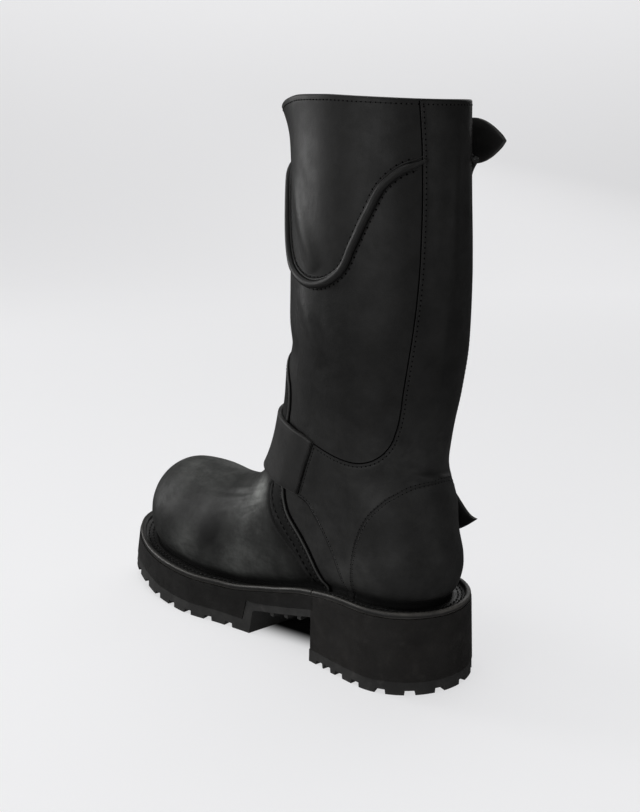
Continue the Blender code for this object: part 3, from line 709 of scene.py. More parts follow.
def leather(name, deep, pale, rough, grain, depth, gloss=0.30, coat=0.0, worn=None):
    """Black leather: cloudy dye, fine pebble and creased grain. Where its rubbing attribute says, the colour runs
    towards a paler one, which stands partly for real rubbing and partly for painted highlights and painted light; where
    its tuck attribute says, it is darkened to near black as painted shade."""
    m, tree, shader = start(name)
    cloud = spread(tree, noise(tree, 55.0, 8.0, 0.68), 0.30, 0.72)
    colour = blend(tree, cloud, deep, pale)
    finish = spread(tree, noise(tree, 120.0, 7.0, 0.68), 0.30, 0.72, rough[0], rough[1])
    if worn is not None:
        # paler patches: partly real rubbing, partly painted highlight and painted light
        rub_and_painted_light = attribute(tree, "worn")
        patchy = spread(tree, noise(tree, 48.0, 9.0, 0.68), 0.30, 0.68, 0.40, 1.0)
        streaky = spread(tree, noise(tree, 260.0, 6.0, 0.66, (1.0, 0.35, 1.0)), 0.28, 0.72, 0.62, 1.0)
        amount = sums(tree, "MULTIPLY", rub_and_painted_light, sums(tree, "MULTIPLY", patchy, streaky))
        colour = blend(tree, amount, colour, worn)
        colour.node.clamp_factor = False
        # painted shade: the turned-in foot of the leather, down where it meets the welt, is darkened to near black and
        # made duller, standing in for the shadow there
        foot = attribute(tree, "tuck")
        colour = blend(tree, foot, colour, (0.0010, 0.0010, 0.0010))
        finish = sums(tree, "ADD", finish, sums(tree, "MULTIPLY", amount, 0.04))
        finish = sums(tree, "ADD", finish, sums(tree, "MULTIPLY", foot, 0.30))
    tree.links.new(colour, shader.inputs["Base Color"])
    tree.links.new(finish, shader.inputs["Roughness"])
    shader.inputs["Specular IOR Level"].default_value = gloss
    if coat:
        shader.inputs["Coat Weight"].default_value = coat
        shader.inputs["Coat Roughness"].default_value = 0.28
    pebble = cells(tree, 1000.0 / grain)
    fine = noise(tree, 2600.0 / grain, 2.0)
    soft = noise(tree, 160.0, 3.0)
    bumped(tree, shader, [(soft, 0.35, 0.35), (pebble, depth, 0.5), (fine, depth * 0.6, 0.4)])
    return m


def rubber(name, deep, pale, rough, depth, gloss=0.25, lines=None, dust=None):
    """Matt rubber or edge-dressed sole leather, with faint buffing lines."""
    m, tree, shader = start(name)
    cloud = spread(tree, noise(tree, 60.0, 5.0, 0.62), 0.30, 0.72)
    colour = blend(tree, cloud, deep, pale)
    if dust is not None:
        amount = spread(tree, noise(tree, 120.0, 6.0, 0.7), 0.52, 0.82, 0.0, 0.75)
        colour = blend(tree, amount, colour, dust)
    tree.links.new(colour, shader.inputs["Base Color"])
    tree.links.new(spread(tree, noise(tree, 140.0, 4.0), 0.3, 0.7, rough[0], rough[1]), shader.inputs["Roughness"])
    shader.inputs["Specular IOR Level"].default_value = gloss
    layers = [(noise(tree, 900.0, 3.0), depth, 0.5)]
    if lines:
        layers.append((noise(tree, 260.0, 3.0, 0.6, lines), depth * 1.2, 0.5))
    bumped(tree, shader, layers)
    return m


# its pale colour is partly rubbing and partly painted light low on the boot, and a painted highlight high on the inner
# shaft
UPPER_LEATHER = leather("black_upper_leather", (0.0076, 0.0075, 0.0073), (0.0132, 0.0130, 0.0127), (0.42, 0.54), 0.8, 0.06,
                        gloss=0.25, worn=(0.060, 0.060, 0.058))
# its pale colour is partly rubbing on the toe and partly a painted highlight at the instep
VAMP_LEATHER = leather("rubbed_and_highlit_vamp_leather", (0.0052, 0.0052, 0.0050), (0.0088, 0.0088, 0.0085), (0.46, 0.58), 0.9, 0.06,
                       gloss=0.15, worn=(0.100, 0.103, 0.098))
STRAP_LEATHER = leather("black_strap_leather", (0.0150, 0.0148, 0.0145), (0.0220, 0.0215, 0.0210), (0.52, 0.64), 0.65, 0.07,
                        gloss=0.22, worn=(0.045, 0.044, 0.043))
# paler leather on the vamp's rounded edge: a worn edge, and also a painted highlight line along it
EDGE_HIGHLIGHT_LEATHER = leather("worn_and_highlit_edge_leather", (0.030, 0.030, 0.029), (0.060, 0.060, 0.058), (0.42, 0.54), 0.7, 0.04, gloss=0.30)
PIPING_LEATHER = leather("black_piping_leather", (0.0100, 0.0098, 0.0096), (0.0150, 0.0147, 0.0143), (0.48, 0.60), 0.7, 0.04,
                         gloss=0.28)
LINING_LEATHER = leather("lining_leather", (0.014, 0.0130, 0.0115), (0.024, 0.0220, 0.0190), (0.62, 0.74), 0.9, 0.06, gloss=0.25)
INSOLE_LEATHER = leather("insole_leather", (0.045, 0.033, 0.022), (0.075, 0.056, 0.038), (0.62, 0.76), 1.1, 0.06, gloss=0.25)
# its pale colour marks a rubbed upper corner, and painted highlight lines and patches
WELT_LEATHER = leather("black_welt_leather", (0.0090, 0.0088, 0.0084), (0.0160, 0.0155, 0.0148), (0.42, 0.54), 0.7, 0.06,
                       gloss=0.34, worn=(0.110, 0.104, 0.094))
WALL_RUBBER = rubber("sole_wall", (0.0085, 0.0080, 0.0076), (0.0135, 0.0128, 0.0120), (0.46, 0.60), 0.08, gloss=0.20,
                     lines=(0.12, 0.12, 3.0), dust=(0.022, 0.021, 0.020))
HEEL_STACK = rubber("heel_wall", (0.0110, 0.0100, 0.0092), (0.0165, 0.0150, 0.0138), (0.48, 0.62), 0.08, gloss=0.28,
                    lines=(0.12, 0.12, 3.0), dust=(0.026, 0.024, 0.022))
TREAD_RUBBER = rubber("tread_rubber", (0.020, 0.0195, 0.0190), (0.030, 0.0295, 0.0285), (0.62, 0.78), 0.10, gloss=0.25,
                      dust=(0.050, 0.048, 0.045))
# painted shade: near black standing in for the shade inside needle holes and in the gap under panel edges
HOLE_AND_GAP_SHADE = rubber("needle_hole_and_gap_shade", (0.0012, 0.0012, 0.0012), (0.0020, 0.0020, 0.0020), (0.85, 0.95), 0.05, gloss=0.02)
THREAD = rubber("black_thread", (0.0120, 0.0120, 0.0118), (0.0200, 0.0200, 0.0196), (0.62, 0.76), 0.10, gloss=0.20)


def steel(name):
    m, tree, shader = start(name)
    shade = spread(tree, noise(tree, 220.0, 5.0), 0.3, 0.7)
    tree.links.new(blend(tree, shade, (0.090, 0.088, 0.086), (0.140, 0.138, 0.134)), shader.inputs["Base Color"])
    tree.links.new(spread(tree, noise(tree, 420.0, 3.0), 0.3, 0.7, 0.24, 0.40), shader.inputs["Roughness"])
    shader.inputs["Metallic"].default_value = 1.0
    bumped(tree, shader, [(noise(tree, 1600.0, 2.0), 0.02, 0.4)])
    return m


STEEL = steel("darkened_steel")


# ------------------------------------------------------------------ creases
# soft ridges (+) and troughs (-), each a bent line through three places on the leg
FOLD_COLUMNS = ("angle_a", "z_a", "angle_b", "z_b", "angle_c", "z_c", "height", "half_width")
LEG_FOLDS = (
    (-26.0, 125.5, -6.0, 129.5, 14.0, 133.5, -1.7, 2.2),      # tendon crease
    (-4.0, 126.4, 15.0, 129.2, 36.0, 134.4, 1.3, 2.3),
    (-33.0, 122.0, -18.0, 123.5, -5.0, 125.5, 0.7, 2.6),
    (-17.0, 150.5, -8.0, 151.0, 4.0, 152.0, -0.8, 1.7),
    (-6.0, 330.0, -1.0, 280.0, 3.0, 232.0, 0.9, 4.2),         # back of the shaft
    (2.0, 240.0, 9.0, 198.0, 6.0, 156.0, 0.8, 5.0),
    (9.7, 202.0, 8.6, 183.0, 5.5, 160.0, 0.3, 1.0),
    (124.0, 300.0, 107.0, 270.0, 95.0, 247.0, 1.7, 6.5),      # shaft, inner side
    (166.0, 202.0, 140.0, 197.0, 114.0, 189.0, -1.8, 10.0),
    (112.0, 234.0, 98.0, 212.0, 88.0, 192.0, 1.5, 6.0),
    (98.0, 222.0, 86.0, 206.0, 78.0, 190.0, -0.5, 5.0),
    (60.0, 158.0, 52.0, 172.0, 44.0, 184.0, 1.0, 9.0),
    (-50.0, 172.0, -66.0, 186.0, -84.0, 196.0, 1.1, 8.0),     # shaft, outer side
    (-62.0, 158.0, -78.0, 168.0, -96.0, 176.0, -0.9, 6.0),
    (-66.0, 102.0, -8.0, 108.0, 50.0, 104.0, 4.2, 14.0),       # over the heel
)
# the same on the vamp, by places seen from the side, alike on both sides
VAMP_COLUMNS = ("s_a", "z_a", "s_b", "z_b", "s_c", "z_c", "height", "half_width")
VAMP_FOLDS = (
    (139.0, 100.0, 165.0, 89.8, 192.0, 83.6, 0.34, 2.0),
    (143.0, 95.5, 170.0, 85.6, 196.0, 79.8, -0.30, 1.8),
    (146.0, 92.0, 172.0, 82.0, 200.0, 76.0, 0.26, 2.2),
    (150.0, 87.5, 176.0, 78.4, 198.0, 72.5, -0.26, 2.0),
    (154.0, 84.0, 176.0, 74.5, 192.0, 69.0, 0.24, 2.4),
    (137.0, 98.0, 150.0, 93.2, 163.0, 90.0, -0.16, 0.8),      # fan of fine creases at the instep
    (138.0, 94.6, 152.0, 89.4, 166.0, 85.6, 0.16, 0.8),
    (139.0, 91.6, 154.0, 85.8, 168.0, 81.2, -0.18, 0.9),
    (141.0, 88.4, 155.0, 81.8, 167.0, 76.6, 0.16, 0.9),
    (143.0, 85.0, 155.0, 77.6, 164.0, 71.6, -0.16, 0.9),
    (151.0, 83.0, 147.5, 74.5, 142.5, 66.0, -0.7, 2.4),
    (44.0, 57.0, 45.5, 66.0, 45.0, 77.0, 0.8, 6.0),
)


def bent(a, b, c):
    """Line of places through three."""
    t = np.linspace(0, 1, 25)[:, None]
    return a * (1 - t) * (1 - 2 * t) + 4 * b * t * (1 - t) + c * t * (2 * t - 1)


FOLDS = []
for a0, z0, a1, z1, a2, z2, height, half in LEG_FOLDS:
    spots = level([a0, a1, a2], [z0, z1, z2])
    FOLDS.append((face(bent(*spots)), height, half))
for s0, z0, s1, z1, s2, z2, height, half in VAMP_FOLDS:
    spots = beside([(s0, z0), (s1, z1), (s2, z2)])
    for places in (spots, lateral(spots)):
        FOLDS.append((face(places), height, half))


TUCK, TUCK_HIGH = 2.4, 4.2      # the upper turns in where it meets the welt


def relief(points):
    """Height of the creases over the smooth face, at points on it."""
    points = np.asarray(points, float)
    flat = points.reshape(-1, 3)
    over = np.maximum(0, flat[:, 2] - station("welt_top", flat[:, 1]))
    out = -TUCK * np.exp(-(over / TUCK_HIGH) ** 2)
    for line, height, half in FOLDS:
        near = np.all((flat > line.min(0) - 3.2 * half) & (flat < line.max(0) + 3.2 * half), 1)
        if not near.any():
            continue
        q = flat[near]
        a, ab = line[:-1], np.diff(line, axis=0)
        d = q[:, None] - a[None]
        t = np.clip((d * ab[None]).sum(-1) / (ab * ab).sum(-1)[None], 0, 1)
        gap = ((d - t[..., None] * ab[None]) ** 2).sum(-1)
        k = gap.argmin(1)
        rows_ = np.arange(len(q))
        share = (k + t[rows_, k]) / len(ab)
        out[near] += height * np.exp(-gap[rows_, k] / half ** 2) * np.sin(math.pi * np.clip(share, 0, 1)) ** 0.7
    return out.reshape(points.shape[:-1])


# ------------------------------------------------------------------ panel lines
EDGE_COLUMNS = ("angle", "z")
STRIP_EDGE = ((34.8, 158.0), (34.5, 170.0), (34.4, 182.0), (33.2, 196.0), (31.0, 211.0), (29.0, 227.0), (27.2, 246.0),
              (25.8, 266.0), (24.8, 286.0), (24.7, 310.0), (25.2, 328.0))
QUARTER_TOP = ((91.5, 140.6), (80.5, 137.8), (70.5, 136.1), (61.6, 135.2), (53.7, 135.6), (46.6, 138.0), (41.0, 142.0),
               (37.2, 147.5))
STRAP_SEAM = ((93.0, 103.4), (94.6, 112.0), (94.6, 120.0), (93.7, 128.0), (91.5, 140.6))
SIDE_COLUMNS = ("s", "z")
QUARTER_FRONT = ((58.4, 51.0), (61.2, 61.0), (66.4, 70.8), (72.4, 79.6), (78.2, 87.0), (84.6, 94.2), (91.0, 100.6),
                 (99.0, 103.4))
COUNTER_SEAM = ((50.8, 53.0), (50.0, 66.0), (48.5, 79.0), (43.5, 93.0), (37.0, 105.6), (30.4, 114.6))
COUNTER_TOP = ((26.5, 118.4), (20.0, 121.8), (11.0, 123.6), (0.0, 124.0))
# heavy stitch row along the vamp's edge, and the soft groove beyond it
BAND_ROW = ((129.6, 104.1), (129.8, 96.0), (126.6, 88.8), (119.8, 82.4), (113.8, 77.2), (107.0, 71.4), (100.1, 64.9),
            (95.0, 59.8), (89.8, 54.0), (86.4, 48.8))
BAND_GROOVE = ((134.0, 101.5), (133.8, 93.0), (131.0, 86.4), (126.6, 80.6), (121.0, 75.8), (114.1, 71.2), (106.2, 66.0),
               (99.3, 60.6), (93.9, 55.0), (90.0, 49.2))
VAMP_EDGE = ((76.0, 47.5), (83.4, 58.0), (89.8, 66.4), (97.2, 75.0), (104.4, 82.0), (110.8, 88.4), (114.8, 96.2),
             (116.4, 105.0), (116.2, 118.0), (114.6, 133.0), (111.8, 149.0), (109.2, 159.0), (108.2, 167.0))
TONGUE_TOP = ((128.0, 174.0), (136.0, 180.5), (147.0, 185.5), (162.0, 189.0), (180.0, 190.0))

QUARTER_STITCH = 1.7        # stitch row inside a panel's edge
VAMP_STITCH = 3.0
BAND_WIDE = 13.0            # raised band along the vamp's edge
SINK = 0.55                 # panels sink back to the last's face away from their edges


def dent(d, where, wide):
    return np.exp(-((d - where) / wide) ** 2)


def rounded(d, radius):
    t = np.clip(d / radius, 0, 1)
    return np.sqrt(np.maximum(0, 1 - (1 - t) ** 2))


def quarter_lift(d):
    return 0.62 * rounded(d, 0.6) - 0.16 * dent(d, QUARTER_STITCH, 0.6) - SINK * ease(3.0, 14.0, d)


def vamp_lift(d):
    return 1.45 * rounded(d, 0.8) - 0.25 * dent(d, VAMP_STITCH, 0.6) - SINK * ease(12.0, 26.0, d)


def hem(begin, end, spacing=2.5):
    """Line along the foot of the upper, under the welt, from one angle to another."""
    many = int(abs(end - begin) * 110 / spacing)
    return np.stack([np.linspace(begin, end, many), np.full(many, HEM)], -1)


def with_foot(line):
    """A line that starts at the welt, carried down under it."""
    first = line[0]
    return np.concatenate([[[first[0], HEM]], line]) if first[1] > HEM + 0.4 else line


def chain(*lines):
    """Lines joined end to end."""
    out = [lines[0]]
    for line in lines[1:]:
        out.append(line[1:])
    return np.concatenate(out)


STEP = 1.1
_front = flow(with_foot(beside(QUARTER_FRONT)), STEP)
_front[-1] = level(*STRAP_SEAM[0])
_seam = flow(round_leg(STRAP_SEAM), STEP)
_top = flow(round_leg(QUARTER_TOP + STRIP_EDGE), STEP)
_strip_end = np.array([_top[-1], [_top[-1][0], TOP]])
_strip = flow(_strip_end, STEP)
_rim = flow(np.array([[_strip[-1][0], TOP], [-_strip[-1][0], TOP]]), STEP)
# the outer side has no sewn strap end, so the corner there is simply rounded
OUTER_FRONT = ((86.0, 96.5), (90.8, 107.0), (92.0, 119.0), (88.5, 130.0), (81.0, 136.4), (71.0, 137.2), (60.5, 136.0))
_outer_side = beside(QUARTER_FRONT[:5] + OUTER_FRONT)
_outer_top = round_leg(QUARTER_TOP[4:] + STRIP_EDGE)
_outer = flow(np.concatenate([with_foot(_outer_side), _outer_top]), STEP)
_outer_strip = flow(np.array([_outer[-1], [_rim[-1][0] * -1, TOP]]), STEP)
_inner_part = chain(_front, _seam, _top, _strip)
QUARTER_EDGE = chain(_inner_part, _rim, lateral(_outer_strip)[::-1], lateral(_outer)[::-1])
AT_RIM = (len(_inner_part) - 1, len(_inner_part) + len(_rim) - 2)    # part of that edge that is the rim
QUARTER_HEM = hem(QUARTER_EDGE[-1][0], QUARTER_EDGE[0][0])

_rear = flow(np.concatenate([with_foot(beside(VAMP_EDGE)), round_leg(TONGUE_TOP)]), STEP)
VAMP_REAR = chain(_rear, (lateral(_rear) + [2 * math.pi, 0])[::-1])
VAMP_HEM = hem(VAMP_REAR[-1][0], VAMP_REAR[0][0])

PLANE = 60.0                # radius that lays angles out flat


def flat(places):
    return np.asarray(places) * [PLANE, ROW_STEP]


class Panel:
    """A leather panel laid over the face: its edge, and how far it stands up at a
    distance from that edge."""

    def __init__(self, edge, foot, lift, inside, rim=None):
        self.edge, self.foot, self.lift, self.inside = edge, foot, lift, inside
        self.cut = [edge] if rim is None else [edge[:rim[0] + 1], edge[rim[1]:]]
        self.lines = [face(part) for part in self.cut]
        self.loop = np.concatenate([edge, foot[1:-1]])
        self.outline = flat(self.loop)
        self.turned = 2 * math.pi if self.loop[:, 0].max() > math.pi else 0.0

    def own(self, places):
        """Places with angles in the panel's own range."""
        places = np.array(places, float)
        if self.turned:
            places[..., 0] %= 2 * math.pi
        else:
            places[..., 0] = (places[..., 0] + math.pi) % (2 * math.pi) - math.pi
        return places

    def holds(self, places):
        return within(flat(self.own(places)), self.outline)

    def far(self, points):
        return np.min([to_line(points, line) for line in self.lines], 0)

    def depth(self, places):
        return self.far(face(places))

    def fill(self, spacing, lines=()):
        """Points of the panel: its loop, rings inside its edge, beside extra lines
        and an even fill."""
        keep = [self.loop]
        extra = []
        many = len(self.loop)
        joins = [(k, (k + 1) % many) for k in range(many)]
        for off in (0.22, 0.5, 0.8, 1.3, 1.7, 2.1, 2.6, 3.4):
            ring = shift(self.edge, self.inside * off)
            extra.append(ring[self.holds(ring) & (self.depth(ring) > 0.9 * off)])
        for line, offsets in lines:
            for off in offsets:
                ring = shift(line, off)
                good = self.holds(ring) & (self.depth(ring) > 3.7)
                first = many + sum(len(e) for e in extra)
                at = first + np.cumsum(good) - 1
                joins += [(int(at[k]), int(at[k]) + 1) for k in np.flatnonzero(good[:-1] & good[1:])]
                extra.append(ring[good])
        middle = []
        for k, w in enumerate(np.arange(HEM + 1.0, TOP, spacing * 0.87 / ROW_STEP)):
            ring = np.stack([np.concatenate([ANGLES, [2 * math.pi]]), np.full(TURNS + 1, w)], -1)
            run = length_along(face(ring))
            even = (np.arange(0, run[-1], spacing) + (k % 2) * spacing / 2) % run[-1]
            middle.append(np.stack([np.interp(np.sort(even), run, ring[:, 0]), np.full(len(even), w)], -1))
        middle = np.concatenate(middle)
        middle = middle[self.holds(middle)]
        p = face(middle)
        clear = self.far(p) > 3.4 + 0.55 * spacing
        for line, offsets in lines:
            clear &= to_line(p, face(line)) > max(np.abs(offsets)) + 0.5 * spacing
        clear &= middle[:, 1] > HEM + 1.2
        return np.concatenate([keep[0]] + [self.own(e) for e in extra] + [self.own(middle[clear])]), joins

    def build(self, name, mat, spacing, lines=(), more=None, attributes=None):
        places, edges = self.fill(spacing, lines)
        plan = [Vector(p) for p in flat(places)]
        points, _, faces, sources, _, _ = delaunay_2d_cdt(plan, edges, [], 1, 1e-4)
        where = np.array([places[src[0]] if src else np.array(p) / [PLANE, ROW_STEP] for p, src in zip(points, sources)])
        p, n = face(where), normal(where)
        d = self.far(p)
        height = self.lift(d)
        height[d < 0.05] = -0.35
        if more is not None:
            height = height + more(p, d)
        faces = [list(f) for f in faces if len(f) == 3]
        used = sorted({i for f in faces for i in f})
        index = {k: i for i, k in enumerate(used)}
        faces = [[index[i] for i in f] for f in faces]
        p, n, d, height = p[used], n[used], d[used], height[used]
        extra = attributes(p, d) if attributes else None
        thing = add(name, p + n * (height + relief(p))[:, None], faces, mat, outward=n, attributes=extra)
        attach(thing, "root")
        return thing


QUARTER = Panel(QUARTER_EDGE, QUARTER_HEM, quarter_lift, -1, AT_RIM)
VAMP = Panel(VAMP_REAR, VAMP_HEM, vamp_lift, 1)

# paler patches: place, reach and strength; a negative strength takes paleness away. They are partly real rubbing and
# partly painted light and shade, as noted at each table
SCUFF_AND_LIGHT_COLUMNS = ("x", "s", "z", "reach", "amount")
# the two rows high on the inner shaft (z 270 and 284) are a painted highlight; the others lighten, or if negative
# darken, patches low on the boot
HEEL_SCUFFS_AND_LIGHT = (
    (44.0, 82.0, 270.0, 10.0, 0.40), (43.0, 88.0, 284.0, 9.0, 0.20), (36.0, 78.0, 70.0, 24.0, 0.16), (36.0, 62.0, 62.0, 10.0, 0.25), (35.0, 40.0, 68.0, 13.0, 0.40),
    (30.0, 30.0, 90.0, 18.0, -0.06), (38.0, 92.0, 120.0, 26.0, 0.08), (21.0, 26.0, 133.0, 22.0, 0.16),
)
# the rows at the instep below the strap (s 146 to 158, z 83 to 97) are a painted highlight; the negative rows take
# paleness away across the toe's middle, partly cloudy dye and partly painted shade
VAMP_SCUFFS_AND_LIGHT = (
    (10.0, 232.0, 86.0, 26.0, 0.70), (36.0, 246.0, 65.0, 22.0, -0.30), (38.0, 159.0, 44.0, 18.0, 0.42),
    (44.0, 213.0, 42.0, 14.0, 0.44), (28.0, 158.0, 83.0, 15.0, 0.56), (38.0, 187.0, 60.0, 15.0, -0.42),
    (32.0, 218.0, 70.0, 16.0, -0.34), (24.0, 252.0, 77.0, 10.0, -0.20), (41.0, 233.0, 54.0, 9.0, -0.14),
    (40.0, 190.0, 54.0, 10.0, -0.12), (33.0, 146.0, 70.0, 7.0, -0.14), (26.0, 150.0, 92.5, 9.0, 1.3),
    (25.0, 146.0, 96.5, 7.0, 1.5),
)


def scuffs_and_painted_light(p, amount, patches):
    mirrored = np.abs(p[:, 0] - centre(p[:, 1]))
    for x, s, z, reach, strength in patches:
        far = (mirrored - x) ** 2 + (p[:, 1] - s) ** 2 + (p[:, 2] - z) ** 2
        amount = amount + strength * np.exp(-far / reach ** 2)
    over = np.maximum(0, p[:, 2] - station("welt_top", p[:, 1]))
    # tuck is painted shade: it darkens the leather just above the welt, fading over the lowest few millimetres
    return {"worn": np.clip(amount, 0, 3.0), "tuck": np.exp(-(over / 3.6) ** 2)}


def heel_rub_and_painted_light(p, d):
    # painted light: the whole boot below the shaft is made a little paler, fading out between 130 and 200 mm up,
    # standing in for light thrown up from the floor
    return scuffs_and_painted_light(p, 0.22 * (1 - ease(130, 200, p[:, 2])), HEEL_SCUFFS_AND_LIGHT)


def rub_and_painted_light(p, d):
    return scuffs_and_painted_light(p, 0.36 * ease(BAND_WIDE - 1, BAND_WIDE + 22, d) * (1 - ease(92, 112, p[:, 2])), VAMP_SCUFFS_AND_LIGHT)

# ------------------------------------------------------------------ skin under the panels
_all = np.stack(np.meshgrid(ANGLES, np.arange(ROWS, dtype=float), indexing="xy"), -1)
base = np.zeros((ROWS, TURNS))
for panel, low, high in ((QUARTER, 3.0, 16.0), (VAMP, 12.0, 26.0)):
    spots = _all.reshape(-1, 2)
    inside = panel.holds(spots)
    d = np.zeros(len(spots))
    d[inside] = panel.far(GRID.reshape(-1, 3)[inside])
    base -= (inside * (0.45 * ease(0.6, 2.4, d) + (SINK + 0.15) * ease(low, high, d))).reshape(ROWS, TURNS)
_rim_gap = np.linalg.norm(GRID - GRID[-1:], axis=-1)
base *= ease(0.0, 7.0, _rim_gap)
RIM_STITCH = 1.9
OUTER = GRID + NORMAL * (base + relief(GRID))[..., None]

_lip = GRID[-1] - GRID[-4]
_lip /= np.linalg.norm(_lip, axis=-1, keepdims=True)
_half_wall = WALL / 2
roll = [OUTER[-1] - NORMAL[-1] * _half_wall + _half_wall * (math.cos(t) * NORMAL[-1] + math.sin(t) * _lip)
        for t in np.linspace(0, math.pi, 9)[1:]]
rows_ = np.concatenate([OUTER, np.array(roll)])
out_ = np.concatenate([NORMAL, np.repeat(NORMAL[-1:], len(roll), 0)])
_marks = {key: np.concatenate([v, np.zeros(len(roll) * TURNS)]) for key, v in heel_rub_and_painted_light(GRID.reshape(-1, 3), 0).items()}
upper = add("upper_skin", rows_.reshape(-1, 3), quads(len(rows_), TURNS, False, True), UPPER_LEATHER,
            attributes=_marks,
            outward=np.concatenate([NORMAL, np.stack([math.cos(t) * NORMAL[-1] + math.sin(t) * _lip
                                                      for t in np.linspace(0, math.pi, 9)[1:]])]).reshape(-1, 3))
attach(upper, "root")
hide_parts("upper")

_in = (GRID + NORMAL * (np.minimum(base, 0) * 0.5 + relief(GRID) * 0.8 - WALL)[..., None])[BELOW::2]
_in = np.concatenate([_in, rows_[-1:]])
_in = _in[:, ::2]
lining = add("upper_lining", _in.reshape(-1, 3), quads(len(_in), TURNS // 2, False, True), LINING_LEATHER,
             outward=np.concatenate([-NORMAL[BELOW::2], -NORMAL[-1:]])[:, ::2].reshape(-1, 3))
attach(lining, "root")

# ------------------------------------------------------------------ panels
COUNTER = flow(np.concatenate([with_foot(beside(COUNTER_SEAM)), round_leg(COUNTER_TOP)]), 1.0)
COUNTER = chain(COUNTER, lateral(COUNTER)[::-1])
_counter_line = face(COUNTER)


def counter_groove(p, d):
    gap = to_line(p, _counter_line)
    return -0.55 * np.exp(-(gap / 0.55) ** 2) + 0.30 * np.exp(-(gap / 3.0) ** 2)


QUARTER.build("quarter_and_back_strip", UPPER_LEATHER, 1.9,
              lines=[(COUNTER, (-2.4, -1.6, -1.0, -0.5, -0.2, 0.2, 0.5, 1.0, 1.6, 2.4))], more=counter_groove,
              attributes=heel_rub_and_painted_light)


BAND_LINES = []
for table in (BAND_ROW, BAND_GROOVE):
    side = flow(beside(table)[::-1], 1.0)
    BAND_LINES += [side, (lateral(side) + [2 * math.pi, 0])]
_rows = [face(line) for line in BAND_LINES[:2]]
_grooves = [face(line) for line in BAND_LINES[2:]]


def band(p, d):
    """Dip of the heavy row, and the step down past the soft groove, which fades
    towards the welt."""
    row = np.minimum(*(to_line(p, line) for line in _rows))
    gap = np.minimum(*(to_line(p, line) for line in _grooves))
    fade = 0.75 + 0.25 * ease(58.0, 84.0, p[:, 2])
    past = ease(9.0, 13.0, d) * (1 - ease(104.0, 116.0, p[:, 2]))
    return (-0.55 * np.exp(-(row / 0.8) ** 2) - 1.35 * fade * np.exp(-(gap / 0.95) ** 2)
            + 0.45 * fade * np.exp(-((gap - 2.4) / 1.3) ** 2) - 0.35 * past)


VAMP.build("vamp_and_tongue", VAMP_LEATHER, 1.7,
           lines=([(line, (-1.1, -0.6, -0.2, 0.2, 0.6, 1.1)) for line in BAND_LINES[:2]]
                  + [(line, (-1.7, -1.1, -0.6, -0.2, 0.2, 0.6, 1.1, 1.7)) for line in BAND_LINES[2:]]),
           more=band, attributes=rub_and_painted_light)

# ------------------------------------------------------------------ stitches of the upper
seams = Thread("upper_stitches", THREAD)
# the holes are small near-black bumps, painted shade standing in for the dark insides of the needle holes
holes = Thread("upper_stitch_holes", HOLE_AND_GAP_SHADE)


def inside_panel(panel, off, trim=(0, None)):
    line = shift(panel.edge, panel.inside * off)
    good = panel.depth(line) > 0.93 * off
    good &= line[:, 1] > BELOW + 0.5
    return line, good


def runs(line, good, least=6):
    """Unbroken stretches of a line."""
    cut = np.flatnonzero(np.diff(np.concatenate([[0], good.astype(int), [0]])))
    return [line[a:b] for a, b in zip(cut[::2], cut[1::2]) if b - a >= least]


line, good = inside_panel(QUARTER, QUARTER_STITCH)
good &= line[:, 1] < TOP - 1.0
for stretch in runs(line, good):
    lift = QUARTER.lift(QUARTER.depth(stretch))
    seams.on_face(stretch, lift, pitch=2.9, length=1.9, width=0.6)
    holes.on_face(stretch, lift + 0.06, pitch=2.9, length=1.05, width=0.95, height=0.24, start=1.0)
for off in (-1.05, 1.05):
    stretch = shift(COUNTER, off)
    good = stretch[:, 1] > BELOW + 0.5
    for part in runs(stretch, good):
        lift = QUARTER.lift(QUARTER.depth(part)) + 0.15
        seams.on_face(part, lift, pitch=2.8, length=1.9, width=0.6)
        holes.on_face(part, lift + 0.06, pitch=2.8, length=1.0, width=0.9, height=0.24, start=1.0)
line, good = inside_panel(VAMP, VAMP_STITCH)
for stretch in runs(line, good):
    seams.on_face(stretch, 1.35, pitch=2.9, length=2.0, width=0.9, height=0.7)
    holes.on_face(stretch, 1.30, pitch=2.9, length=1.0, width=1.0, height=0.30, start=1.0)
for line in BAND_LINES[:2]:
    stretch = line[line[:, 1] > BELOW + 0.5]
    lift = VAMP.lift(VAMP.depth(stretch)) + band(face(stretch), VAMP.depth(stretch))
    holes.on_face(stretch, lift + 0.10, pitch=4.3, length=3.2, width=2.1, height=0.40)
    seams.on_face(stretch, lift - 0.1, pitch=4.3, length=2.0, width=0.9, height=0.5, start=1.0)

# rim row, on the skin and over the back strip
_ring = np.stack([np.linspace(0, 2 * math.pi, 361), np.full(361, TOP)], -1)
_ring_in = shift(_ring, RIM_STITCH)
_strip_half = abs(_strip[-1][0])
_on_strip = (np.abs((_ring_in[:, 0] + math.pi) % (2 * math.pi) - math.pi) < _strip_half + 0.03)
for stretch in runs(_ring_in, ~_on_strip) + runs(_ring_in, _on_strip):
    lift = np.where(QUARTER.holds(stretch), QUARTER.lift(QUARTER.depth(stretch)), 0.0)
    seams.on_face(stretch, lift, pitch=2.8, length=1.9, width=0.6)
    holes.on_face(stretch, lift + 0.06, pitch=2.8, length=1.05, width=0.95, height=0.24, start=1.0)

# rounded edges of the panels, and under each a near-black bar that is painted shadow in the gap
TRIM_COLUMNS = ("in_from_edge", "radius", "lift")


def trim(name, line, radius, lift, mat):
    p, n = face(line), normal(line)
    thing = sections(name, bar_rings(p + n * (lift + relief(p))[:, None], radius, 8, up=n), mat)
    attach(thing, "root")


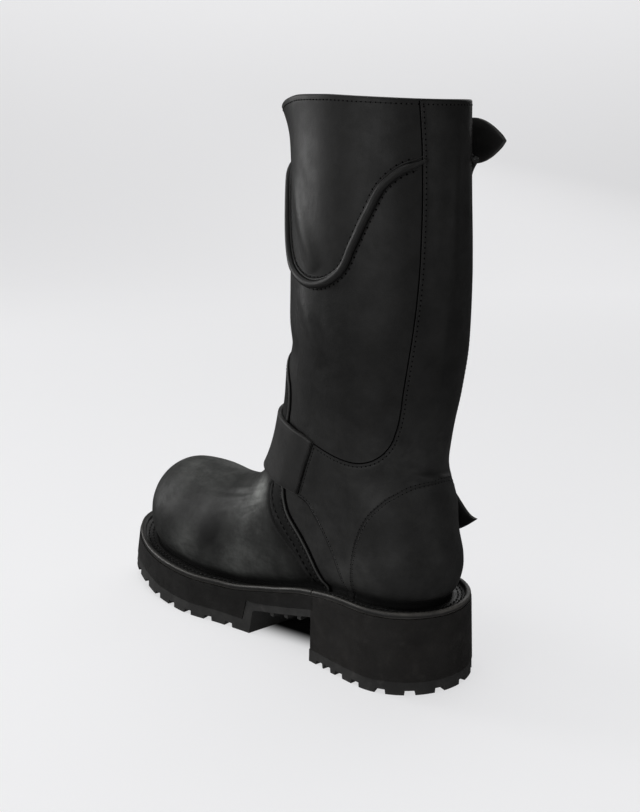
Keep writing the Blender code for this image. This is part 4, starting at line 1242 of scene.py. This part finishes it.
for name, panel, mat, edge_row, gap_row in (("quarter", QUARTER, UPPER_LEATHER, (0.45, 0.42, 0.20), (-0.40, 0.38, -0.14)),
                                            ("vamp", VAMP, EDGE_HIGHLIGHT_LEATHER, (0.72, 0.78, 0.76), (-0.75, 0.95, -0.20))):
    for k, part in enumerate(panel.cut):
        for kind, (off, radius, lift), look in (("edge", edge_row, mat), ("shadow_line", gap_row, HOLE_AND_GAP_SHADE)):
            trim(f"{name}_{kind}_{k + 1}", shift(part, panel.inside * off), radius, lift, look)

# ------------------------------------------------------------------ rolled piping
PIPE_HALF, PIPE_RISE, CORD_RADIUS, CORD_OFF = 2.2, 2.0, 0.7, 2.6
PIPE_START = (22.5, 310.6)
_inner, _outer_run = (np.concatenate([[PIPE_START], table]) for table in (PIPING, PIPING_OUTER))
_pipe = flow(np.concatenate([round_leg(_inner), round_leg(np.stack([360 - _outer_run[::-1, 0], _outer_run[::-1, 1]], -1))[1:]]), 1.3)
_run = length_along(face(_pipe))
_end = np.minimum(_run, _run[-1] - _run)
_thin = 0.45 + 0.55 * ease(2.0, 13.0, _end)
_n = normal(_pipe)
_p = face(_pipe)
_p = _p + _n * relief(_p)[:, None]
path = _p + _n * ((PIPE_RISE - 0.1) * _thin)[:, None]
pipe_rings = bar_rings(path, PIPE_HALF * _thin, 16, up=_n)
_over = ((pipe_rings - path[:, None]) * _n[:, None]).sum(-1, keepdims=True)
pipe_rings = pipe_rings - _n[:, None] * _over * (1 - PIPE_RISE / PIPE_HALF)
_cord = shift(_pipe, -CORD_OFF)
_cp, _cn = face(_cord), normal(_cord)
cord_path = _cp + _cn * (relief(_cp) + 0.35 * _thin)[:, None]
cord_rings = bar_rings(cord_path, CORD_RADIUS * _thin, 10, up=_cn)
piping = sections("shaft_piping_roll", pipe_rings, PIPING_LEATHER)
cord = sections("shaft_piping_edge", cord_rings, PIPING_LEATHER)
for thing in (piping, cord):
    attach(thing, "root")
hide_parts("shaft_piping")
for off, size in ((-CORD_OFF - 1.2, 1.15), (PIPE_HALF + 1.0, 1.25)):
    stretch = shift(_pipe, off)[4:-4]
    seams.on_face(stretch, 0.0, pitch=3.7, length=2.3, width=0.6)
    holes.on_face(stretch, 0.08, pitch=3.7, length=size, width=size, height=0.28, start=1.0)

# ------------------------------------------------------------------ straps
STRAP_LEATHER_THICK = 2.6


def strap_section(thick, edge=1.0, under=0.5, many=14):
    """Round-edged band section: place from the low edge, place from the high edge
    (whichever is not None), share between, and height over the inner face."""
    out = []
    for t in np.linspace(0, 1, many):
        out.append(("share", t, thick))
    for t in np.linspace(0, 90, 5)[1:]:
        a = math.radians(t)
        out.append(("high", edge * (1 - math.sin(a)), thick - edge * (1 - math.cos(a))))
    for t in np.linspace(0, 90, 4)[1:]:
        a = math.radians(t)
        out.append(("high", under * (1 - math.cos(a)), under * (1 - math.sin(a))))
    for t in np.linspace(1, 0, 6)[1:-1]:
        out.append(("share", t, 0.0))
    for t in np.linspace(90, 0, 4)[:-1]:
        a = math.radians(t)
        out.append(("low", under * (1 - math.cos(a)), under * (1 - math.sin(a))))
    for t in np.linspace(90, 0, 5)[:-1]:
        a = math.radians(t)
        out.append(("low", edge * (1 - math.sin(a)), thick - edge * (1 - math.cos(a))))
    return out, edge


def strap_piece(name, table, tip, bars, inner, begin=None, steps=150, tail_steps=34, sag=0.0, point=(0.30, 2.3)):
    """Band along the upper from its sewn end to past the buckle, then straight off
    it as a pointed tail."""
    section, edge = strap_section(STRAP_LEATHER_THICK)
    kinds = np.array([k for k, _, _ in section])
    value = np.array([v for _, v, _ in section])
    rise = np.array([h for _, _, h in section])
    t = np.linspace(0, 1, steps)[:, None]
    share = np.where(kinds == "low", 0.0, np.where(kinds == "high", 1.0, value))[None]
    first = np.full(share.shape, table[0, 0]) if begin is None else np.interp(share, begin[:, 0], begin[:, 1])
    degrees = first + (table[-1, 0] - first) * t
    low, high = curve(table, 1, degrees), curve(table, 2, degrees)
    z = np.where(kinds[None] == "low", low + value[None],
                 np.where(kinds[None] == "high", high - value[None], low + edge + (high - low - 2 * edge) * value[None]))
    places = level(degrees, z)
    p, n = face(places), normal(places)
    lift = inner(degrees) + 0.0
    lift = lift + (6.2 - lift) * ease(bars[0] + 2, bars[1] - 3, degrees)
    body = p + n * (lift + rise[None])[..., None]
    last = body[-1]
    flat_at = np.where(rise > STRAP_LEATHER_THICK / 2, 1, 0)
    out = n[-1].mean(0)
    out /= np.linalg.norm(out)
    middle = last - out * rise[:, None]
    heart = middle.mean(0)
    spread_ = middle - heart
    up = spread_[np.argmax(share[0])] - spread_[np.argmin(share[0])]
    up /= np.linalg.norm(up)
    level_spread = (spread_ @ up)[:, None] * up[None]
    rings = [body]
    for k in np.linspace(0, 1, tail_steps + 1)[1:]:
        spot = heart + (np.array(tip) - heart) * k - np.array([0.0, 0.0, sag * math.sin(math.pi * k ** 1.6)])
        bend = ease(0.0, 0.35, k)
        width = 1 - 0.97 * max(0, (k - point[0]) / (1 - point[0])) ** point[1]
        thin = 1 - 0.25 * ease(0.9, 1.0, k)
        rings.append((spot + (spread_ * (1 - bend) + level_spread * bend) * width + out * rise[:, None] * thin)[None])
    rings = np.concatenate(rings)
    rub = np.where((kinds != "share"), 1.0, 0.0)[None] * np.ones((len(rings), 1))
    thing = sections(name, rings, STRAP_LEATHER, attributes={"worn": rub})
    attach(thing, "root")
    return thing


# the sewn end of the ankle strap lies along the quarter's seam
_begin = np.array([(0.0, 94.2), (0.25, 95.7), (0.5, 95.6), (0.75, 94.6), (1.0, 92.6)])
ankle = strap_piece("ankle_strap_leather", ANKLE_STRAP, ANKLE_TIP, ANKLE_BUCKLE,
                    lambda a: -0.8 + 2.35 * ease(92.0, 112.0, a), begin=_begin, sag=9.5, point=(0.34, 1.7))
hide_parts("ankle_strap")
top = strap_piece("top_strap_leather", TOP_STRAP, TOP_TIP, TOP_BUCKLE, lambda a: 0.25 + 0.0 * a, steps=90, point=(0.24, 2.0))
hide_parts("top_strap")
for off in (2.2, 4.6):
    row_ = level(np.full(12, TOP_STRAP[0, 0] + off * 1.25), np.linspace(TOP_STRAP[0, 1] + 2.2, TOP_STRAP[0, 2] - 2.2, 12))
    seams.on_face(row_, 0.25 + STRAP_LEATHER_THICK + 0.02, pitch=2.9, length=2.0, width=0.75)
seams.made()
holes.made()


# ------------------------------------------------------------------ buckles
def on_band(table, degrees, share, lift):
    """Point over a band: at an angle, a share of its width (0 low, 1 high) and a lift."""
    low, high = (float(curve(table, c, degrees)) for c in (1, 2))
    place = level(degrees, low + (high - low) * share)
    return face(place) + normal(place) * lift


def buckle(name, table, bars, clear):
    """Wire frame set square to its band, front bar over it and rear bar under it,
    with its prong resting on the front bar."""
    front, rear = bars
    fore, aft = on_band(table, front, 0.5, 0.0), on_band(table, rear, 0.5, 0.0)
    along = (aft - fore) / np.linalg.norm(aft - fore)
    out = on_band(table, (front + rear) / 2, 0.5, 1.0) - on_band(table, (front + rear) / 2, 0.5, 0.0)
    aside = np.cross(out, along)
    aside /= np.linalg.norm(aside)
    out = np.cross(along, aside)
    over = 0.6 + STRAP_THICK + clear + BUCKLE_WIRE
    under = 6.2 - 1.8 - BUCKLE_WIRE
    half, corner = BUCKLE_HALF, 4.0
    length = np.linalg.norm(aft - fore)
    spot = lambda p, q: fore + along * p + aside * q + out * (over + (under - over) * p / length)
    loop = []
    for far, way, begin in ((0, 1, 180), (1, 1, 90), (1, -1, 0), (0, -1, -90)):
        p0, q0 = (length - corner) if far else corner, (half - corner) * way
        for turn in np.radians(np.linspace(begin, begin - 90, 9)):
            loop.append(spot(p0 + corner * math.cos(turn), q0 + corner * math.sin(turn)))
    loop = np.array(loop)
    fine = []
    for a, b in zip(loop, np.roll(loop, -1, 0)):
        steps = max(1, int(np.linalg.norm(b - a) / 1.2))
        fine += [a + (b - a) * k / steps for k in range(steps)]
    ring = sections(name + "_frame", bar_rings(fine, BUCKLE_WIRE, 16, closed=True), STEEL, closed=True)
    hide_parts(name)
    rest = over + BUCKLE_WIRE + 0.4 + PRONG_WIRE
    bars_ = np.array([fore + along * p + out * lift for p, lift in
                      ((length * 0.5, over + 3.4), (length * 0.3, over + 3.6), (0.0, rest), (-4.0, rest - 1.2))])
    run = length_along(bars_)
    even = np.linspace(0, run[-1], 40)
    path = np.stack([np.interp(even, run, bars_[:, k]) for k in range(3)], -1)
    for _ in range(12):
        path[1:-1] = path[1:-1] * 0.5 + (path[2:] + path[:-2]) * 0.25
    path, radius = round_ends(path, PRONG_WIRE)
    prong = sections(name.replace("buckle", "prong") + "_pin", bar_rings(path, radius, 14), STEEL)
    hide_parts(name.replace("buckle", "prong"))
    for thing in (ring, prong):
        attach(thing, "root")


buckle("ankle_buckle", ANKLE_STRAP, ANKLE_BUCKLE, 2.7)
buckle("top_buckle", TOP_STRAP, TOP_BUCKLE, 0.9)

# ------------------------------------------------------------------ sole
AROUND = np.linspace(0, 2 * math.pi, 540, endpoint=False)
BLOCK_LOW, BLOCK_HIGH = -6.0, 60.0


def loose(name, mesh):
    thing = bpy.data.objects.new(name, mesh)
    bpy.context.scene.collection.objects.link(thing)
    return thing


def bm_mesh(bm, name):
    bmesh.ops.recalc_face_normals(bm, faces=bm.faces)
    mesh = bpy.data.meshes.new(name)
    bm.to_mesh(mesh)
    bm.free()
    return mesh


def wall_loop(height, more=0.0):
    """Loop on the flared wall of the sole at one height."""
    _, s = outline(AROUND)
    grow = 1 - height / station("welt_top", s)
    points = np.array([outline(a, g) for a, g in zip(AROUND, grow)])
    if more:
        away_ = points - [0.0, 150.0]
        points = points + away_ / np.linalg.norm(away_, axis=1, keepdims=True) * more
    return np.column_stack([points, np.full(len(AROUND), height)])


def slab(bottom, top, name):
    """Closed solid between two loops that run heel, medial, toe, lateral."""
    n, half = len(bottom), len(bottom) // 2
    bm = bmesh.new()
    low = [bm.verts.new(p) for p in world(bottom)]
    up = [bm.verts.new(p) for p in world(top)]
    for i in range(n):
        j = (i + 1) % n
        bm.faces.new((low[i], low[j], up[j], up[i]))
    for ends in (low, up):
        for i in range(half):
            a, b, c, d = ends[i], ends[i + 1], ends[n - i - 1], ends[(n - i) % n]
            bm.faces.new([p for k, p in enumerate((a, b, c, d)) if p not in (a, b, c, d)[:k]])
    return bm_mesh(bm, name)


def prism(name, profile, half_width=90.0):
    """A side-view profile of (s, z) points carried across the boot."""
    bm = bmesh.new()
    edge = np.array([(-half_width, s, z) for s, z in profile])
    first = bm.faces.new([bm.verts.new(p) for p in world(edge)])
    moved = bmesh.ops.extrude_face_region(bm, geom=[first])["geom"]
    for vert in (g for g in moved if isinstance(g, bmesh.types.BMVert)):
        vert.co.x += 2 * half_width * MM
    return loose(name, bm_mesh(bm, name))


def sole_piece(name, profile, mat, replaced, cuts=(), joined=(), bevel=0.55, more=0.0):
    """Piece of the flared sole between side-view profiles, cut, joined and with
    its edges softened."""
    thing = loose(name + "_block", slab(wall_loop(BLOCK_LOW, more), wall_loop(BLOCK_HIGH, more), name + "_block"))
    helpers = [prism(name + "_profile", profile)]
    steps = [(helpers[0], "INTERSECT", "EXACT")]
    steps += [(c, "DIFFERENCE", "MANIFOLD") for c in cuts] + [(c, "UNION", "MANIFOLD") for c in joined]
    helpers += list(cuts) + list(joined)
    for other, operation, solver in steps:
        mod = thing.modifiers.new(operation.lower(), "BOOLEAN")
        mod.operation, mod.solver, mod.object = operation, solver, other
    mod = thing.modifiers.new("softened", "BEVEL")
    mod.width, mod.segments, mod.limit_method, mod.angle_limit = bevel * MM, 2, "ANGLE", math.radians(38)
    mod.use_clamp_overlap = True
    mod = thing.modifiers.new("normals", "WEIGHTED_NORMAL")
    mod.keep_sharp = True
    graph = bpy.context.evaluated_depsgraph_get()
    mesh = bpy.data.meshes.new_from_object(thing.evaluated_get(graph), depsgraph=graph)
    for other in [thing] + helpers:
        bpy.data.objects.remove(other, do_unlink=True)
    mesh.name = name
    mesh.materials.clear()
    mesh.materials.append(mat)
    mesh.shade_smooth()
    piece = bpy.data.objects.new(name, mesh)
    SHOWN.objects.link(piece)
    mod = piece.modifiers.new("normals", "WEIGHTED_NORMAL")
    mod.keep_sharp = True
    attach(piece, "root")
    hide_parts(replaced)
    return piece


def tread_top(s):
    """Upper face of the tread: forefoot, step up its rear face, then the arch."""
    s = np.asarray(s, float)
    arch = curve(ARCH, 1, s) + ARCH_SHEET
    fore = station("ground", s) + TREAD_THICK
    return arch + (fore - arch) * np.clip((s - FOREFOOT_REAR - 3.0) / 3.0, 0, 1)


def edge_run():
    """Fine outline of the tread's edge and the run along it from the back of the heel."""
    fine = np.linspace(0, 2 * math.pi, 2881)
    x, s = outline(fine, 1.0)
    return fine, x, s, np.concatenate([[0], np.cumsum(np.hypot(np.diff(x), np.diff(s)))])


def notches(name, places):
    """Open lug gaps set square to the sole's edge, at runs along it."""
    fine, x, s, run = edge_run()
    bm = bmesh.new()
    for where in places:
        angle = np.interp(where % run[-1], run, fine)
        px, ps = (float(np.interp(angle, fine, c)) for c in (x, s))
        qx, qs = (float(np.interp(angle + 0.01, fine, c)) for c in (x, s))
        heading = math.atan2(-(qs - ps), qx - px)
        cube = bmesh.ops.create_cube(bm, size=1.0)["verts"]
        bmesh.ops.scale(bm, verts=cube, vec=(LUG_GAP * MM, 2 * LUG_LONG * MM, 2 * LUG_DEEP * MM))
        spot = world([px, ps, float(station("ground", ps))])
        for vert in cube:
            wide = 1.0 if vert.co.z > 0 else 1.25
            vx, vy = vert.co.x * wide, vert.co.y
            vert.co = (vx * math.cos(heading) - vy * math.sin(heading) + spot[0],
                       vx * math.sin(heading) + vy * math.cos(heading) + spot[1], vert.co.z + spot[2])
    return loose(name, bm_mesh(bm, name))


def cross_bars(name, begin, end, pitch, width):
    """Shallow grooves across the middle of the tread."""
    bm = bmesh.new()
    for s in np.arange(begin, end, pitch):
        cube = bmesh.ops.create_cube(bm, size=1.0)["verts"]
        bmesh.ops.scale(bm, verts=cube, vec=(width * MM, LUG_GAP * MM, 2 * LUG_DEEP * MM))
        bmesh.ops.translate(bm, verts=cube, vec=world([float(centre(s)), s, float(station("ground", s))]))
    return loose(name, bm_mesh(bm, name))


def ribs(name):
    """Three ribs across the arch."""
    bm = bmesh.new()
    for s in RIB_STATIONS:
        cube = bmesh.ops.create_cube(bm, size=1.0)["verts"]
        wide = float(station("medial", s) + station("lateral", s)) - 1.0
        bmesh.ops.scale(bm, verts=cube, vec=(wide * MM, 3.4 * MM, 6.0 * MM))
        bmesh.ops.translate(bm, verts=cube, vec=world([float(centre(s)), s, float(curve(ARCH, 1, s)) + 0.6]))
    return loose(name, bm_mesh(bm, name))


FORE_STATIONS = np.concatenate([np.linspace(FOREFOOT_REAR, 205, 14), np.linspace(209, 312, 44)])
TREAD_STATIONS = np.concatenate([np.linspace(HEEL_BREAST + GAP, 138, 20), [FOREFOOT_REAR + 3.0, FOREFOOT_REAR + 6.0],
                                 np.linspace(152, 312, 56)])
fine_, _, edge_s, run_ = edge_run()
half_ = np.searchsorted(fine_, math.pi)
first_ = float(np.interp(LUG_FIRST, edge_s[:half_], run_[:half_]))
last_ = run_[-1] - float(np.interp(LUG_FIRST, edge_s[:half_:-1], run_[-1] - run_[:half_:-1]))
gaps = np.linspace(first_, last_, int(round((last_ - first_) / LUG_PITCH)) + 1)

profile = [(s, float(station("ground", s))) for s in FORE_STATIONS]
profile += [(s, float(tread_top(s))) for s in TREAD_STATIONS[::-1]]
profile += [(s, float(curve(ARCH, 1, s))) for s in np.linspace(HEEL_BREAST + GAP, FOREFOOT_REAR - 4, 18)]
profile += [(FOREFOOT_REAR - 2.5, float(ARCH[-1, 1]) - 1.5)]
sole_piece("tread_and_arch_rubber", profile, TREAD_RUBBER, "outsole_tread",
           cuts=(notches("forefoot_lugs", gaps), cross_bars("forefoot_bars", 160.0, 262.0, 17.0, 44.0)),
           joined=(ribs("arch_ribs"),))

top_ = lambda s: float(station("welt_top", s)) - 3.5
profile = [(s, top_(s)) for s in np.concatenate([np.linspace(HEEL_BREAST - 2.0, 300, 70), [312.0]])]
profile += [(s + 0.15, float(tread_top(s)) + 0.15) for s in TREAD_STATIONS[:0:-1]]
profile += [(HEEL_BREAST - 2.0, float(tread_top(HEEL_BREAST)) + 0.15)]
sole_piece("midsole_wall", profile, WALL_RUBBER, "midsole", bevel=0.55, more=0.45)

profile = [(-12.0, TOPLIFT_THICK + 0.15), (HEEL_BREAST, TOPLIFT_THICK + 0.15)]
profile += [(s, top_(s)) for s in np.concatenate([np.linspace(HEEL_BREAST, 4, 26), [-12.0]])]
sole_piece("heel_stack", profile, HEEL_STACK, "heel_block", bevel=0.6, more=0.45)

front_ = HEEL_BREAST + TOPLIFT_PROUD
profile = [(-12.0, 0.0), (front_, 0.0), (front_, TOPLIFT_THICK), (-12.0, TOPLIFT_THICK)]
sole_piece("heel_top_lift", profile, TREAD_RUBBER, "heel_toplift",
           cuts=(notches("heel_lugs", [way * r for r in HEEL_GAPS for way in (1, -1)]),
                 cross_bars("heel_bars", 26.0, 70.0, 17.0, 36.0)))

# ------------------------------------------------------------------ welt
_medial_joint = float(np.interp(HEEL_BREAST, outline(np.linspace(0, math.pi, 2000))[1], np.linspace(0, math.pi, 2000)))
_near = np.linspace(-0.012, 0.012, 13)
WELT_TURN = np.sort(np.concatenate([np.linspace(0, 2 * math.pi, 620, endpoint=False), _medial_joint + _near,
                                    2 * math.pi - _medial_joint + _near]))


def foot_line(angles, inset):
    """Foot of the upper in plan, brought in by an inset."""
    p = skin(0.0, angles)[:, :2]
    along = np.roll(p, -1, 0) - np.roll(p, 1, 0)
    side = np.stack([-along[:, 1], along[:, 0]], -1) / np.linalg.norm(along, axis=1, keepdims=True)
    if np.mean(np.sum(side * (p - [0.0, 150.0]), 1)) < 0:
        side = -side
    return p - inset * side


def smooth_loop(points, times):
    for _ in range(times):
        points = points * 0.5 + (np.roll(points, 1, 0) + np.roll(points, -1, 0)) * 0.25
    return points


_outer_edge = np.stack(outline(WELT_TURN), -1)
_inner_edge = smooth_loop(foot_line(WELT_TURN, 0.0), 6)
_deep_edge = smooth_loop(foot_line(WELT_TURN, 3.6), 6)
_wide = np.linalg.norm(_outer_edge - _inner_edge, axis=1)
_across = (_inner_edge - _outer_edge) / _wide[:, None]
# across the welt: millimetres in from its edge, or a share of its width, and height
BEAD = 0.30                 # share of the welt taken by its outer bead
WELT_COLUMNS = ("inset", "share", "height")
WELT_PROFILE = ((0.9, 0.0, -3.5), (0.15, 0.0, -3.35), (-0.12, 0.0, -2.9), (-0.18, 0.0, -2.0), (-0.12, 0.0, -1.15),
                (0.10, 0.0, -0.55), (0.45, 0.0, -0.16), (0.95, 0.0, 0.03), (0.6, 0.10, 0.10), (0.3, 0.20, 0.08),
                (-0.3, BEAD, -0.05), (0.05, BEAD, -0.3), (0.30, BEAD, -1.0), (0.50, BEAD, -1.9), (0.9, BEAD, -2.2),
                (0.3, 0.72, -2.25), (0.0, 0.90, -2.2), (0.0, 1.0, -2.0))
_joint = np.exp(-((_outer_edge[:, 1] - HEEL_BREAST) / 0.42) ** 2)
welt_rings = []
for inset, share, height in WELT_PROFILE:
    plan = _outer_edge + _across * (inset + share * _wide)[:, None]
    drop = 0.9 * _joint if share <= BEAD else 0.0
    plan = plan + _across * (0.5 * _joint * (share == 0))[:, None]
    welt_rings.append(np.column_stack([plan, station("welt_top", plan[:, 1]) + height - drop]))
for height in (-2.0, -3.5):
    welt_rings.append(np.column_stack([_deep_edge, station("welt_top", _deep_edge[:, 1]) + height]))
# paler along its upper corner, as rubbing and a painted highlight line, with a painted highlight line along its lower
# corner, a faint paleness over its bead, and a painted highlight over the top of the bead at the back
_rub_and_highlight = [0.0 if share > BEAD else float(np.exp(-((height + 0.3) / 0.35) ** 2) + 0.9 * np.exp(-((height + 3.2) / 0.35) ** 2))
        if share == 0 else 0.06 for _, share, height in WELT_PROFILE] + [0.0, 0.0]
_back_highlight = np.exp(-((_outer_edge[:, 1]) / 14.0) ** 2)
_highlit_top = np.array([float(share <= BEAD and height > -1.2) for _, share, height in WELT_PROFILE] + [0.0, 0.0])
_rub_and_highlight = np.clip(np.array(_rub_and_highlight)[:, None] + 0.7 * _highlit_top[:, None] * _back_highlight[None], 0, 1)
welt = sections("welt_strip", np.array(welt_rings), WELT_LEATHER, closed=True,
                attributes={"worn": _rub_and_highlight.ravel()})
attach(welt, "root")
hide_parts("welt")

welt_thread = Thread("welt_stitches", THREAD)
_up = np.tile([0.0, 0.0, 1.0], (len(WELT_TURN) + 1, 1))
for share, lift in ((0.56, -1.9), (0.80, -1.95)):
    plan = _outer_edge + _across * (share * _wide)[:, None]
    loop = np.column_stack([plan, station("welt_top", plan[:, 1]) + lift])
    welt_thread.sew(np.concatenate([loop, loop[:1]]), _up, 4.3, 3.3, 1.0, 0.9)
welt_thread.made()

# ------------------------------------------------------------------ insole
_bed = smooth_loop(foot_line(AROUND, WALL + 0.9), 4)
_ring_shares = ((1.0, -4.0), (1.0, 1.9), (0.995, 2.6), (0.985, 2.95), (0.96, 3.0), (0.85, 2.9), (0.6, 2.75), (0.3, 2.7), (0.04, 2.7))
_spine = np.stack([centre(_bed[:, 1]), np.clip(_bed[:, 1], 30, 262)], -1)
insole_rings = [np.column_stack([_spine + (_bed - _spine) * share,
                                 station("welt_top", (_spine + (_bed - _spine) * share)[:, 1]) + height])
                for share, height in _ring_shares]
insole = sections("insole_board", np.array(insole_rings), INSOLE_LEATHER)
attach(insole, "root")
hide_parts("insole")

# ------------------------------------------------------------------ camera, floor and light
camera_data = bpy.data.cameras.new("camera")
camera = bpy.data.objects.new("camera", camera_data)
bpy.context.scene.collection.objects.link(camera)
camera.location = (0.50864, 0.62415, 0.339)
camera.rotation_euler = (math.radians(90 - 13.503), 0, math.radians(139.323))
camera_data.sensor_fit = "VERTICAL"
camera_data.sensor_height = 36.0
camera_data.lens = 55.40
bpy.context.scene.camera = camera

RIGHT = np.array([-0.758, 0.652, 0.0])      # of the picture
NEAR = np.array([0.652, 0.758, 0.0])        # towards the camera
UP = np.array([0.0, 0.0, 1.0])


def backdrop(name):
    """Floor that sweeps up into a wall behind the boot."""
    far, bend, tall, wide = -2.6, 1.1, 3.4, 6.0
    line = [(6.0, 0.0), (2.6, 0.0), (1.0, 0.0), (0.0, 0.0), (far + bend, 0.0)]
    line += [(far + bend - bend * math.sin(t), bend - bend * math.cos(t)) for t in np.linspace(0, math.pi / 2, 24)[1:]]
    line += [(far, tall)]
    points, faces = [], []
    for k, (n, z) in enumerate(line):
        for r in (-wide, wide):
            points.append(NEAR * n + RIGHT * r + UP * (z - 0.0002))
        if k:
            faces.append((2 * k - 2, 2 * k - 1, 2 * k + 1, 2 * k))
    mesh = bpy.data.meshes.new(name)
    mesh.from_pydata([tuple(p) for p in points], [], faces)
    mesh.shade_smooth()
    thing = bpy.data.objects.new(name, mesh)
    bpy.context.scene.collection.objects.link(thing)
    m, tree, shader = start("pale_paper")
    tone = blend(tree, noise(tree, 3.0, 3.0), (0.300, 0.300, 0.305), (0.310, 0.310, 0.315))
    glow = blend(tree, noise(tree, 2.0, 2.0), (0.985, 0.985, 1.0), (0.990, 0.990, 1.0))
    height = put(tree, "ShaderNodeSeparateXYZ")
    tree.links.new(tree.nodes.new("ShaderNodeTexCoord").outputs["Object"], height.inputs["Vector"])
    tree.links.new(glow, shader.inputs["Emission Color"])
    near = sums(tree, "ADD", sums(tree, "MULTIPLY", height.outputs["X"], float(NEAR[0])),
                sums(tree, "MULTIPLY", height.outputs["Y"], float(NEAR[1])))
    lit = sums(tree, "ADD", spread(tree, near, -0.9, 0.5, 0.550, 0.655), spread(tree, height.outputs["Z"], 0.0, 0.9, 0.0, 0.18))
    # painted shadow of the boot on the paper under its arch: there the paper's colour is darkened and its glow turned
    # down
    slant = sums(tree, "MULTIPLY", height.outputs["Y"], 0.2)
    aside = spread(tree, sums(tree, "ADD", sums(tree, "ABSOLUTE", height.outputs["X"], 0.0), slant), 0.021, 0.042)
    beyond = spread(tree, sums(tree, "ABSOLUTE", sums(tree, "ADD", height.outputs["Y"], -0.035), 0.0), 0.075, 0.110)
    shade = sums(tree, "MAXIMUM", aside, beyond)
    tone = blend(tree, shade, (0.012, 0.012, 0.012), tone)
    tree.links.new(sums(tree, "MULTIPLY", lit, shade), shader.inputs["Emission Strength"])
    tree.links.new(tone, shader.inputs["Base Color"])
    shader.inputs["Roughness"].default_value = 0.9
    shader.inputs["Specular IOR Level"].default_value = 0.0
    mesh.materials.append(m)
    # the boot does not see the paper in its reflections
    thing.visible_glossy = False
    return thing, m


def screen(name, mat):
    """Pale wall all round, for the other views; it lights and shades nothing."""
    around = np.linspace(0, 2 * math.pi, 97)[:-1]
    points = [(5.8 * math.cos(a), 5.8 * math.sin(a), z) for z in (-3.0, 1.2, 5.0) for a in around]
    many = len(around)
    faces = [(r * many + k, r * many + (k + 1) % many, (r + 1) * many + (k + 1) % many, (r + 1) * many + k)
             for r in range(2) for k in range(many)]
    mesh = bpy.data.meshes.new(name)
    mesh.from_pydata(points, [], faces)
    mesh.shade_smooth()
    mesh.materials.append(mat)
    thing = bpy.data.objects.new(name, mesh)
    bpy.context.scene.collection.objects.link(thing)
    thing.visible_glossy = thing.visible_diffuse = thing.visible_shadow = thing.visible_transmission = False
    return thing


_floor, PAPER = backdrop("studio_floor")
screen("studio_wall", PAPER)


def lamp(name, where, at, size, power):
    """Soft box aimed at a point; where and at are (right, near, up) in metres."""
    data = bpy.data.lights.new(name, "AREA")
    data.shape = "RECTANGLE"
    data.size, data.size_y, data.energy = size[0], size[1], power
    thing = bpy.data.objects.new(name, data)
    bpy.context.scene.collection.objects.link(thing)
    spot = RIGHT * where[0] + NEAR * where[1] + UP * where[2]
    aim = RIGHT * at[0] + NEAR * at[1] + UP * at[2]
    thing.location = spot
    thing.rotation_euler = Vector(aim - spot).to_track_quat("-Z", "Y").to_euler()
    return thing


lamp("rim", (-1.62, -0.80, 0.62), (0.0, 0.0, 0.12), (0.6, 1.0), 14.0)
lamp("overhead", (-0.30, -0.20, 2.0), (0.0, 0.0, 0.0), (1.8, 1.6), 17.0)
lamp("front", (-1.25, 1.45, 0.50), (0.0, 0.0, 0.06), (1.5, 0.9), 10.5)
lamp("fill", (1.30, 1.30, 0.40), (0.0, 0.0, 0.05), (1.0, 0.8), 2.2)
lamp("far", (0.70, -1.75, 0.90), (0.0, 0.0, 0.12), (1.4, 1.2), 6.0)
world_ = bpy.data.worlds.new("studio")
bpy.context.scene.world = world_
world_.use_nodes = True
world_.node_tree.nodes["Background"].inputs["Color"].default_value = (1.0, 1.0, 1.0, 1.0)
world_.node_tree.nodes["Background"].inputs["Strength"].default_value = 0.06
bpy.context.scene.view_settings.view_transform = "Standard"
bpy.context.scene.view_settings.look = "None"
